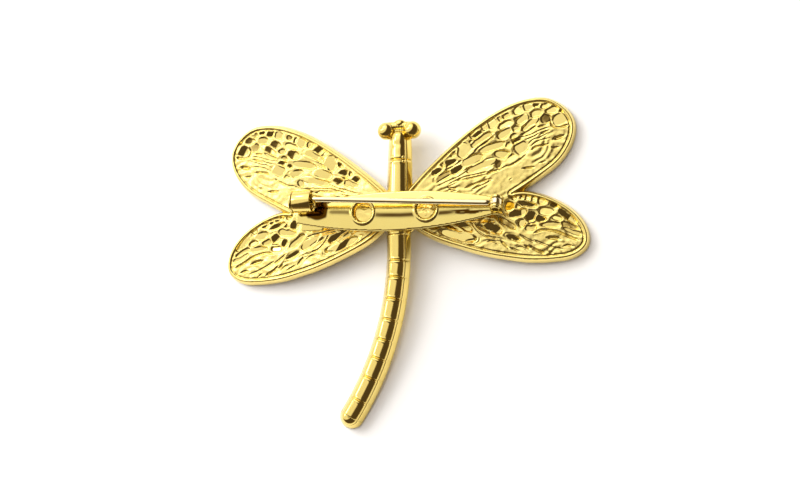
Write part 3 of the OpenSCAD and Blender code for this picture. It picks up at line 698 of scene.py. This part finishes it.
def ball(centre, radii, n, m):
    """A ball or egg with n faces round it and m from pole to pole."""
    verts = [(0, 0, 1)]
    for i in range(1, m):
        a = math.pi * i / m
        ring = [2 * math.pi * j / n for j in range(n)]
        verts += [(math.sin(a) * math.cos(b), math.sin(a) * math.sin(b), math.cos(a)) for b in ring]
    verts.append((0, 0, -1))
    last = len(verts) - 1
    faces = [(0, 1 + j, 1 + (j + 1) % n) for j in range(n)]
    for i in range(m - 2):
        for j in range(n):
            a, b = 1 + i * n + j, 1 + i * n + (j + 1) % n
            faces.append((a, a + n, b + n, b))
    faces += [(last, last - n + (j + 1) % n, last - n + j) for j in range(n)]
    return moved(np.array(verts) * np.array(radii), None, centre), faces


def remeshed(name, parts, voxel, rounds):
    """Melts overlapping closed shells into one cast surface, with voxels in mm."""
    ob = join(name, parts)
    bpy.context.view_layer.objects.active = ob
    melt = ob.modifiers.new("melt", "REMESH")
    melt.mode = "VOXEL"
    melt.voxel_size = voxel / 1000
    melt.use_smooth_shade = True
    soft = ob.modifiers.new("soft", "SMOOTH")
    soft.iterations = rounds
    soft.factor = 0.5
    done = bpy.data.meshes.new_from_object(ob.evaluated_get(bpy.context.evaluated_depsgraph_get()))
    ob.modifiers.clear()
    ob.data = done
    done.polygons.foreach_set("use_smooth", np.ones(len(done.polygons), bool))
    return ob


# centres in the head's own frame and radii, mm
EYE_AT, EYE_R = (1.975, 0, -0.45), (1.31, 1.31, 1.31)
BROW_AT, BROW_R = (1.5, 0.70, -0.38), (0.62, 0.62, 0.62)
NAPE_AT, NAPE_R = (1.5, 0.10, -0.85), (0.75, 0.75, 0.75)
SNOUT_AT, SNOUT_R = (0.08, 1.0, -0.35), (0.95, 0.62, 0.70)


def head():
    """Two eyes, a brow and a lower nape between them, and the snout, to be melted together."""
    p, _ = neck_point(NECK_LEN + 0.3)
    turn = rot("Z", -NECK_LEAN)

    def at(side, place):
        return p + turn @ np.array([side * place[0], place[1], place[2]])

    parts = [ball(at(side, EYE_AT), EYE_R, 64, 32) for side in (-1, 1)]
    for side in np.linspace(-1, 1, 9):
        parts += [ball(at(side, BROW_AT), BROW_R, 32, 16), ball(at(side, NAPE_AT), NAPE_R, 32, 16)]
    return parts + [ball(at(1, SNOUT_AT), SNOUT_R, 40, 20)]


def turned(profile, axis="X", steps=72, gap=0.0):
    """Lathe of a (radius, place) profile about X or Y. A gap, the half angle of a slot, faces up."""
    v, f = lathe(profile, steps, gap, 360 - gap)
    if axis == "X":
        v = moved(moved(v, rot("Y", 90)), rot("X", 180))
    else:
        v = moved(v, rot("X", 90))
    return v, f


# bar pin frames
BAR_MID, BAR_TURN = (0.05, -2.2), -2.1
BAR_LEN, BAR_W, BAR_ARC, BAR_T, BAR_CROWN = 30.0, 5.8, 66.0, 0.6, 14.0
BAR_TOP = 1.81757
BAR_BOTTOM = BAR_TOP - BAR_T
SHEET_SPACING = 0.12
HOLE_X, HOLE_R, POST_R = 4.75, 1.48, 1.42
RING_H, RING_OUT = 0.15, 0.46       # the raised ring round each hole
HINGE = (15.35, 0.15, 3.06757)
CATCH = (-13.38, 1.62, 3.91757)
NEEDLE_YAW, NEEDLE_PITCH, LEAN = -3.55049, 2.63893, 18.0
NEEDLE_D = 28.8158
CATCH_LEN = 3.2
CATCH_X0, CATCH_X1 = -CATCH_LEN / 2, CATCH_LEN / 2
SLEEVE_R, SLEEVE_BORE, BARREL_R, BARREL_BORE, LIP_R, LIP_BORE = 1.62, 1.345, 1.29, 1.01, 1.43, 1.485
SLOT = 0.65                         # half width of the catch's slots
bar_turn = rot("Z", BAR_TURN)
bar_at = np.array([BAR_MID[0], BAR_MID[1], 0.0])
needle_turn = bar_turn @ rot("Z", NEEDLE_YAW) @ rot("Y", NEEDLE_PITCH) @ rot("X", -LEAN)
catch_turn = bar_turn @ rot("X", -LEAN)
needle_at = bar_at + bar_turn @ np.array(HINGE)
catch_at = bar_at + bar_turn @ np.array(CATCH)


def on_bar(part):
    """A part given in the bar's frame, moved to its place."""
    return moved(part[0], bar_turn, bar_at), part[1]


def on_needle(part):
    """A part given in the hinge's frame, with X along the needle, moved to its place."""
    return moved(part[0], needle_turn, needle_at), part[1]


def on_catch(part):
    """A part given in the catch's frame, moved to its place."""
    return moved(part[0], catch_turn, catch_at), part[1]


def bar_half(x):
    """Half width of the lens-shaped bar."""
    return BAR_W / 2 - BAR_ARC + np.sqrt(BAR_ARC ** 2 - np.asarray(x, float) ** 2)


# middle line of the needle's reflection, painted as a dark streak along the sheet
NEEDLE_REFLECTION_X = (-10.0, -7.4, -2.1, 0.9, 6.9, 9.2, 12.8)
NEEDLE_REFLECTION_Y = (0.27, 0.12, -0.57, -0.72, -0.70, -0.64, -0.88)
# centre and half size of the catch barrel's reflection, painted as a dark patch on the sheet
BARREL_REFLECTION_AT, BARREL_REFLECTION_HALF = (-11.6, 0.5), (1.75, 1.55)


def painted_reflection_and_streaks(x, y, ring):
    """The needle's reflection painted as a dark line, and dark streaks towards the hinge, both clear of the
    rings, and the catch barrel's reflection painted as a dark patch under the catch.
    """
    line = y - np.interp(x, NEEDLE_REFLECTION_X, NEEDLE_REFLECTION_Y)
    dark = 1.25 * np.exp(-(line / 0.30) ** 2) * step(x, -10.3, -9.3) * (1 - step(x, 7.5, 10.5))
    dark = np.clip(dark, 0, 0.95) * (0.8 + 0.2 * step(x, -4, -1))
    streaks = np.clip(0.5 + 2.6 * noise(x * 0.5, y * 4.5, 34) + 0.6 * noise(x * 3, y * 9, 35), 0, 1)
    streaks = streaks * step(x, 6.5, 9.5) * (1 - step(x, 13.8, 14.8))
    dark = np.maximum(dark, streaks * (1 - step(np.abs(line - 0.05), 0.25, 0.6)))
    across, up = np.abs(x - BARREL_REFLECTION_AT[0]) / BARREL_REFLECTION_HALF[0], np.abs(y - BARREL_REFLECTION_AT[1]) / BARREL_REFLECTION_HALF[1]
    patch = (across ** 2.5 + up ** 2.5) ** 0.4 + 0.10 * noise(x * 1.2, y * 1.2, 36)
    return np.maximum(dark * step(ring, 0.45, 0.65), 1 - step(patch, 0.86, 1.02))


def circle(r, n):
    """Points round a circle."""
    a = np.linspace(0, 2 * math.pi, n, endpoint=False)
    return np.column_stack([r * np.cos(a), r * np.sin(a)])


def plate():
    """Lens-shaped crowned sheet with two ringed holes, and where dark reflections and dark streaks are
    painted on it.
    """
    x0, x1 = -BAR_LEN / 2 + 0.05, BAR_LEN / 2 + 0.55
    xs = np.linspace(x0, x1, 400)
    half = bar_half(xs) - 0.01
    outline = np.vstack([np.column_stack([xs, half]), np.column_stack([xs[::-1], -half[::-1]])])
    outer = resample(outline[::-1], SHEET_SPACING)
    holes = [circle(HOLE_R, 90) + np.array([side * HOLE_X, 0]) for side in (-1, 1)]
    lines = np.vstack([np.hstack([loop, np.roll(loop, -1, 0)]) for loop in [outer] + holes])
    pts = hex_points(x0, x1, -3, 3, SHEET_SPACING)
    pts = pts[inside(pts, outer) & ~inside(pts, holes[0]) & ~inside(pts, holes[1])]
    pts = pts[distance(pts, lines) > 0.07]
    v, f = triangulate([outer] + holes, pts)
    mid = v[f].mean(1)
    f = f[np.hypot(np.abs(mid[:, 0]) - HOLE_X, mid[:, 1]) >= HOLE_R - 0.01]
    x, y = v[:, 0], v[:, 1]
    soft = rounding(distance(v, lines[:len(outer)]), 0.09)
    ring = np.hypot(np.abs(x) - HOLE_X, y) - HOLE_R
    lip = RING_H * (1 - step(ring, 0.26, RING_OUT)) - rounding(np.maximum(ring, 0), 0.1)
    level = BAR_TOP - (BAR_CROWN - np.sqrt(BAR_CROWN ** 2 - y ** 2))
    # the crown is pressed flat round the holes
    w = 1 - step(ring, 0.2, 0.5)
    top = level * (1 - w) + (BAR_TOP - 0.05) * w + lip - soft
    top = top + 0.008 * noise(x * 0.45, y * 0.45, 31) + 0.003 * noise(x * 1.7, y * 1.7, 32)
    n = len(v)
    verts = np.vstack([np.column_stack([v, top]), np.column_stack([v, level - BAR_T + soft * 0.8])])
    faces = [tuple(q) for q in f] + [tuple(q + n)[::-1] for q in f]
    for loop in boundary(f):
        for a, b in zip(loop, loop[1:] + loop[:1]):
            faces.append((b, a, a + n, b + n))
    return (verts, faces), painted_reflection_and_streaks(x, y, ring)


def solid(outline, z0, z1, bevel):
    """An outline raised from z0 to z1 with rounded upper and lower edges."""
    p = np.array(outline, float)
    area = 0.5 * np.sum(p[:, 0] * np.roll(p[:, 1], -1) - p[:, 1] * np.roll(p[:, 0], -1))
    if area < 0:
        p = p[::-1]
    t = np.roll(p, -1, 0) - np.roll(p, 1, 0)
    out = np.column_stack([t[:, 1], -t[:, 0]])
    out /= np.maximum(np.linalg.norm(out, axis=1)[:, None], 1e-9)
    turns = [math.radians(a) for a in (0, 30, 60, 90)]
    rows = [(-bevel * (1 - math.sin(a)), z0 + bevel * (1 - math.cos(a))) for a in turns]
    rows += [(-bevel * (1 - math.cos(a)), z1 - bevel * (1 - math.sin(a))) for a in turns]
    verts = np.vstack([np.column_stack([p + out * e, np.full(len(p), z)]) for e, z in rows])
    k, n = len(p), len(rows)
    faces = grid_faces(n, k, close_cols=True)
    faces += [tuple(range(k))[::-1], tuple(range((n - 1) * k, n * k))]
    return verts, faces


def bar_box(x0, x1, y0, y1, z0, z1, corner, bevel):
    """A rounded block in the bar's frame."""
    return on_bar(solid(rounded([(x0, y0), (x1, y0), (x1, y1), (x0, y1)], corner, 6), z0, z1, bevel))


def peg(x, top, wave, seed):
    """Top of a rivet post, seen in a hole of the bar, and hammered uneven by wave."""
    n, verts = 72, []
    radii = [0.0001, 0.2, 0.4, 0.6, 0.8, 0.95, 1.1, 1.22, 1.32, 1.39, POST_R]
    for r in radii:
        px, py = circle(r, n).T
        dents = noise(px * 1.6 + 5, py * 1.6, seed) + 0.5 * noise(px * 3.5, py * 3.5, seed + 1)
        fall = 0.08 * max(0, (r - 1.3) / 0.12) ** 2
        z = top - fall + wave * dents * min(1, (POST_R - r) / 0.2)
        verts += list(zip(x + px, py, z))
    px, py = circle(POST_R, n).T
    verts += list(zip(x + px, py, np.full(n, -0.9)))
    faces = grid_faces(len(radii) + 1, n, close_cols=True, flip=True)
    faces += [tuple(range(n)), tuple(range(len(radii) * n, (len(radii) + 1) * n))[::-1]]
    return np.array(verts), faces


# materials
def node(tree, kind, inputs, **settings):
    """A shader node. Each input is a value or the socket that feeds it."""
    made = tree.nodes.new("ShaderNode" + kind)
    for key, value in settings.items():
        setattr(made, key, value)
    for key, value in inputs.items():
        if isinstance(value, bpy.types.NodeSocket):
            tree.links.new(value, made.inputs[key])
        else:
            made.inputs[key].default_value = value
    return made


def mix(tree, a, b, factor):
    """A colour between two, each of them a value or a socket."""
    return node(tree, "Mix", {"A": a, "B": b, "Factor": factor}, data_type="RGBA").outputs["Result"]


GRAIN_SCALE, RUB_SCALE, GRAIN_DEPTH = 5200, 420, 0.00002    # the depth is in metres
SATIN_ROUGH = 0.15                                          # roughness that satin adds


def cast_surface():
    """Fine grain and faint rubbing of a polished surface, rougher where it is satin."""
    g = bpy.data.node_groups.new("cast_surface", "ShaderNodeTree")
    for name, value in (("Bump", 0.15), ("Smooth", 0.10), ("Worn", 0.2), ("Satin", 0.0)):
        g.interface.new_socket(name, in_out="INPUT", socket_type="NodeSocketFloat").default_value = value
    for name, kind in (("Normal", "Vector"), ("Roughness", "Float"), ("Patch", "Float")):
        g.interface.new_socket(name, in_out="OUTPUT", socket_type="NodeSocket" + kind)
    given, out = g.nodes.new("NodeGroupInput").outputs, g.nodes.new("NodeGroupOutput").inputs
    at = node(g, "TexCoord", {}).outputs["Object"]
    fine, broad = [node(g, "TexNoise", {"Scale": scale, "Detail": 3, "Vector": at}).outputs["Fac"]
                   for scale in (GRAIN_SCALE, RUB_SCALE)]
    # grain counts for more where the surface is satin
    depth = node(g, "MapRange", {"To Min": 0.12, "To Max": 0.8, "Value": given["Satin"]}).outputs[0]
    grain = node(g, "Math", {0: fine, 1: depth, 2: broad}, operation="MULTIPLY_ADD").outputs[0]
    bump = node(g, "Bump", {"Strength": given["Bump"], "Distance": GRAIN_DEPTH, "Height": grain})
    g.links.new(bump.outputs[0], out["Normal"])
    rough = node(g, "MapRange", {"From Min": 0.35, "From Max": 0.75, "Value": broad,
                                 "To Min": given["Smooth"], "To Max": given["Worn"]}).outputs[0]
    lands = node(g, "Math", {0: given["Satin"], 1: SATIN_ROUGH, 2: rough}, operation="MULTIPLY_ADD")
    g.links.new(lands.outputs[0], out["Roughness"])
    g.links.new(broad, out["Patch"])
    return g


SURFACE = cast_surface()
# dark brown painted into the bar's colour for the reflections of the needle and the catch, and for streaks
# near the hinge
PAINTED_REFLECTION_BROWN = (0.075, 0.030, 0.0015)


def gold(name, colour, deep, bump, smooth, worn, satin=False, painted_reflections=False):
    """Polished gold plating in two tones, with the masks that the mesh keeps; one of them paints dark
    reflections and streaks into the colour.
    """
    m = bpy.data.materials.new(name)
    m.use_nodes = True
    tree = m.node_tree
    bsdf = tree.nodes["Principled BSDF"]
    bsdf.inputs["Metallic"].default_value = 1.0
    given = {"Bump": bump, "Smooth": smooth, "Worn": worn}
    if satin:
        given["Satin"] = node(tree, "Attribute", {}, attribute_name="satin").outputs["Fac"]
    surface = node(tree, "Group", given, node_tree=SURFACE).outputs
    tone = mix(tree, (*colour, 1), (*deep, 1), surface["Patch"])
    # painted reflections: the mesh mask darkens the colour towards the painted brown
    if painted_reflections:
        dark = node(tree, "Attribute", {}, attribute_name="painted_reflection_and_streaks").outputs["Fac"]
        tone = mix(tree, tone, (*PAINTED_REFLECTION_BROWN, 1), dark)
    tree.links.new(tone, bsdf.inputs["Base Color"])
    tree.links.new(surface["Roughness"], bsdf.inputs["Roughness"])
    tree.links.new(surface["Normal"], bsdf.inputs["Normal"])
    return m


CAST = gold("cast_gold", (0.92, 0.74, 0.25), (0.87, 0.65, 0.17), 0.15, 0.08, 0.15)
FIELD = gold("cast_gold_satin", (0.92, 0.76, 0.28), (0.88, 0.68, 0.19), 0.2, 0.07, 0.14, satin=True)
# the bar's colour carries the painted dark reflections and streaks
BAR = gold("bar_gold", (0.89, 0.73, 0.25), (0.86, 0.68, 0.20), 0.06, 0.08, 0.14, painted_reflections=True)
WIRE = gold("needle_gold", (0.95, 0.84, 0.52), (0.92, 0.78, 0.42), 0.05, 0.07, 0.12)


def place(ob, body, material, slot_name, cad_node):
    """Gives a finished piece its material and its body, and hides the solid it replaces; its slot name is not
    used.
    """
    ob.data.materials.append(material)
    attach(ob, body)
    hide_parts(cad_node)


def casting(ob, material=CAST):
    """Gives a piece to the cast insect."""
    place(ob, "brooch", material, "cast_gold", "dragonfly_casting")


# casting; a wing pair's cells are shifted by jitter, and tilt by lean, give or take spread
casting(wing_pair("wings_right", False, jitter=0.0, lean=(0.00, 0.10), spread=0.12), FIELD)
casting(wing_pair("wings_left", True, jitter=0.004, lean=(0.25, 0.19), spread=0.08), FIELD)
casting(join("tail", tail()))
casting(join("neck", neck()))
casting(remeshed("head", head(), 0.06, 5))
# the domed thorax under the bar: a broad low egg and a narrower deep one, by centre and radii
THORAX_EGGS = (((0.2, -2.2, -1.2), (3.1, 3.45, 1.15)), ((0.2, -2.2, -1.5), (2.6, 3.0, 1.6)))
casting(remeshed("thorax", [ball(middle, radii, 64, 32) for middle, radii in THORAX_EGGS], 0.1, 8))
# rivet posts: place along the bar, depth of the top under the bar's, its unevenness and its seed
POSTS = ((-HOLE_X, 0.75, 0.012, 51), (HOLE_X, 0.13, 0.05, 61))
SHOULDER_R, SHOULDER_TOP = 1.86, BAR_BOTTOM - 0.22
posts = [on_bar(peg(x, BAR_TOP - sunk, wave, seed)) for x, sunk, wave, seed in POSTS]
for x in (-HOLE_X, HOLE_X):
    v, f = lathe([(0, -1), (SHOULDER_R, -1), (SHOULDER_R, SHOULDER_TOP - 0.06),
                  (SHOULDER_R - 0.06, SHOULDER_TOP), (0, SHOULDER_TOP)], 64)
    posts.append(on_bar((moved(v, None, (x, 0, 0)), f)))
casting(join("rivet_posts", posts))

# bar: sheet, foot under the catch, end foot, arm under the catch, riser behind its end disc
FOOT_X, FOOT_Y = (-14.33, -10.92), (-2.33, 1.74)
END_X, END_Y = (12.17, 16.2), (-1.33, 1.33)
ARM_LEN, ARM_Y = 3.18, (0.88, 2.36)
RISER_T, RISER_Y = 0.33, (0.89, 2.35)
arm_x = CATCH[0] + CATCH_X0
sheet, sheet_painted_reflection = plate()
bar_parts = [
    on_bar(sheet),
    bar_box(*FOOT_X, *FOOT_Y, BAR_BOTTOM - 0.44, BAR_BOTTOM + 0.14, 0.35, 0.12),
    bar_box(*END_X, *END_Y, BAR_BOTTOM - 0.09, BAR_TOP - 0.11, 0.3, 0.12),
    bar_box(arm_x + 0.02, arm_x + ARM_LEN, *ARM_Y, BAR_BOTTOM - 0.43, BAR_TOP + 0.35, 0.15, 0.1),
    bar_box(arm_x + 0.01, arm_x + RISER_T, *RISER_Y, BAR_BOTTOM, CATCH[2] - 0.05, 0.08, 0.05)]
EAR_R, EAR_Y, EAR_FOOT = 0.86, 0.725, -1.68
arc = [(EAR_R * math.cos(a), EAR_R * math.sin(a)) for a in np.linspace(0, math.pi, 30)]
for side in (-1, 1):
    v, f = solid([(-EAR_R, EAR_FOOT), (EAR_R, EAR_FOOT)] + arc, -0.17, 0.17, 0.06)
    bar_parts.append(on_needle((moved(v, rot("X", 90), (0, side * EAR_Y, 0)), f)))
# fixed barrel of the catch: end disc and slotted tube with a lip
disc = rounded([(0, CATCH_X0, 0), (SLEEVE_R - 0.01, CATCH_X0), (SLEEVE_R - 0.01, CATCH_X0 + 0.35),
                (0, CATCH_X0 + 0.35, 0)], 0.08, 3)
bar_parts.append(on_catch(turned(disc, steps=96)))
tube = rounded([(BARREL_BORE, CATCH_X0 + 0.2), (BARREL_R, CATCH_X0 + 0.2), (BARREL_R, CATCH_X1 - 0.45, 0),
                (LIP_R, CATCH_X1 - 0.45), (LIP_R, CATCH_X1 - 0.15), (BARREL_BORE, CATCH_X1 - 0.15)], 0.06, 3)
bar_parts.append(on_catch(turned(tube, steps=96, gap=math.degrees(math.asin(SLOT / 1.15)))))
bar = join("pin_bar_fine", bar_parts)
# the sheet's mask of painted dark reflections and streaks
point_mask(bar, "painted_reflection_and_streaks", sheet_painted_reflection)
place(bar, "brooch", BAR, "bar_gold", "pin_bar")

# hinge rivet: half length, shank and head
RIVET_END, RIVET_R, HEAD_R = 1.07, 0.42, 0.66
half = [(HEAD_R - 0.01, RIVET_END, 0.1), (HEAD_R, RIVET_END - 0.14, 0.02), (RIVET_R, RIVET_END - 0.14, 0)]
shank = rounded([(0, -RIVET_END, 0)] + [(r, -y, soft) for r, y, soft in half] + half[::-1]
                + [(0, RIVET_END, 0)], 0.03, 3)
place(join("hinge_rivet_fine", [on_needle(turned(shank, "Y"))]), "brooch", BAR, "bar_gold", "hinge_rivet")

# needle: point, taper, wire, and an eye round the rivet
NEEDLE_R, NEEDLE_END, TAPER, POINT_R = 0.415, -0.6, 4.9, 0.11
EYE_IN, EYE_OUT, EYE_W = 0.5, 0.845, 0.44
tip_x = -NEEDLE_D - CATCH_LEN / 2 + 0.75
wire = [(0.0, tip_x + 0.01), (0.06, tip_x + 0.03), (POINT_R, tip_x + 0.1)]
wire += [(POINT_R + (NEEDLE_R - POINT_R) * math.sin(math.pi / 2 * k / 20), tip_x + 0.1 + TAPER * k / 20)
         for k in range(1, 21)]
wire += [(NEEDLE_R, tip_x + 5 + (NEEDLE_END - tip_x - 5) * k / 24) for k in range(1, 25)]
v, f = lathe(wire + [(0.0, NEEDLE_END)], 48)
eye = rounded([(EYE_IN, -EYE_W), (EYE_OUT, -EYE_W), (EYE_OUT, EYE_W), (EYE_IN, EYE_W)], 0.12, 4)
needle_parts = [on_needle((moved(v, rot("Y", 90)), f)), on_needle(turned(eye, "Y"))]
place(join("needle_fine", needle_parts), "needle", WIRE, "needle_gold", "pin_needle")

# turning sleeve with a slot and a thumb lever, closed
sleeve_x, mouth = CATCH_X0 + 0.46, CATCH_X1
sleeve_out = SLEEVE_R - 0.005
wall = rounded([(SLEEVE_BORE, sleeve_x), (sleeve_out, sleeve_x), (sleeve_out, mouth), (LIP_BORE, mouth),
                (LIP_BORE, mouth - 0.55, 0), (SLEEVE_BORE, mouth - 0.55, 0)], 0.07, 3)
v, f = turned(wall, steps=120, gap=math.degrees(math.asin(SLOT / 1.48)))
sleeve = [on_catch((moved(v, rot("X", -120)), f))]
lever = rounded([(mouth - 0.3, 1.56), (mouth, 1.73), (mouth + 0.5, 1.73), (mouth + 1.5, 1.53, 0.12),
                 (mouth + 0.75, 1.03), (mouth, 1.53)], 0.06, 3)
v, f = solid(lever, -0.27, 0.27, 0.07)
sleeve.append(on_catch((moved(moved(v, rot("X", 90)), rot("X", -60)), f)))
place(join("catch_sleeve_fine", sleeve), "catch", CAST, "cast_gold", "catch_sleeve")

# floor
floor_mesh = bpy.data.meshes.new("floor")
FLOOR_HALF = 2.0    # metres
floor_mesh.from_pydata([(x * FLOOR_HALF, y * FLOOR_HALF, 0) for x, y in ((-1, -1), (1, -1), (1, 1), (-1, 1))],
                       [], [(0, 1, 2, 3)])
floor = bpy.data.objects.new("floor", floor_mesh)
bpy.context.scene.collection.objects.link(floor)
paper = bpy.data.materials.new("paper")
paper.use_nodes = True
paper_look = paper.node_tree.nodes["Principled BSDF"].inputs
paper_look["Base Color"].default_value = (0.94, 0.94, 0.945, 1)
paper_look["Roughness"].default_value = 0.9
floor_mesh.materials.append(paper)

# camera, from the photo's own geometry
C_AXIS = np.array([0.24704195, -0.15448887, 0.9566104])
X_AXIS = np.array([0.9657555, -0.04152361, -0.25610955])
Y_AXIS = np.array([0.07928799, 0.98712156, 0.13894041])
DISTANCE, ACROSS, UP = 234.3, 0.56, -7.66            # mm
FOCAL, PHOTO_WIDTH, SENSOR = 1600.0, 800, 36         # pixels, pixels, mm
eye_at = to_row([C_AXIS * DISTANCE + X_AXIS * ACROSS + Y_AXIS * UP])[0]
cam_data = bpy.data.cameras.new("camera")
cam_data.sensor_width = SENSOR
cam_data.lens = FOCAL * SENSOR / PHOTO_WIDTH
cam_data.clip_start = 0.01
cam_data.clip_end = 10
cam = bpy.data.objects.new("camera", cam_data)
bpy.context.scene.collection.objects.link(cam)
cam_place = np.eye(4)
cam_place[:3] = np.column_stack([X_AXIS, Y_AXIS, C_AXIS, eye_at])
cam.matrix_world = Matrix(cam_place.tolist())
bpy.context.scene.camera = cam

# the room is all that the metal reflects
world = bpy.data.worlds.new("room")
world.use_nodes = True
room = world.node_tree
towards = node(room, "TexCoord", {}).outputs["Generated"]


def lobe(direction, outer, inner, strength):
    """A round soft light in the room, given by the cosines at its two edges."""
    dot = node(room, "VectorMath", {0: towards, 1: Vector(direction).normalized()}, operation="DOT_PRODUCT")
    return node(room, "MapRange", {"From Min": outer, "From Max": inner, "To Min": 0, "To Max": strength,
                                   "Value": dot.outputs["Value"]}, interpolation_type="SMOOTHSTEP").outputs[0]


def add(total, *others):
    """The sum of several sockets."""
    for other in others:
        total = node(room, "Math", {0: total, 1: other}).outputs[0]
    return total


# one big soft window at the upper left, its bright middle, a few lamps, and a dim brown room
window = lobe((-0.60, 0.50, 0.62), 0.50, 0.63, 0.93)
middle = lobe((-0.25, 0.65, 0.72), 0.84, 0.97, 0.75)
lamps = [lobe(d, 0.991, 0.996, 5.0) for d in ((-0.55, 0.30, 0.78), (-0.30, 0.72, 0.62), (-0.80, 0.20, 0.56))]
ROOM_LOW, ROOM_HIGH, ROOM_EDGE = 0.30, 0.085, 0.4
height = node(room, "SeparateXYZ", {0: towards}).outputs["Z"]
dim = node(room, "MapRange", {"From Min": 0.0, "From Max": ROOM_EDGE, "To Min": ROOM_LOW, "To Max": ROOM_HIGH,
                              "Value": height}).outputs[0]
light = add(window, middle, *lamps)
tint = mix(room, (1.0, 0.72, 0.45, 1), (1.0, 0.985, 0.96, 1), light)
room.links.new(tint, room.nodes["Background"].inputs["Color"])
room.links.new(add(dim, light), room.nodes["Background"].inputs["Strength"])
bpy.context.scene.world = world


def paper_light(name, at, size, power, colour):
    """Area light for the paper and the shadows on it, not seen in the polished metal."""
    light = bpy.data.lights.new(name, "AREA")
    light.color = colour
    light.size = size
    light.energy = power
    ob = bpy.data.objects.new(name, light)
    bpy.context.scene.collection.objects.link(ob)
    ob.location = at
    ob.rotation_euler = (-Vector(at)).to_track_quat("-Z", "Y").to_euler()
    ob.visible_glossy = False


paper_light("key", (-0.44, 0.35, 0.29), 0.40, 4.0, (1.0, 1.0, 1.0))
paper_light("sky", (0.10, 0.05, 0.90), 1.4, 3.0, (1.0, 0.92, 0.83))
bpy.context.scene.view_settings.view_transform = "Standard"
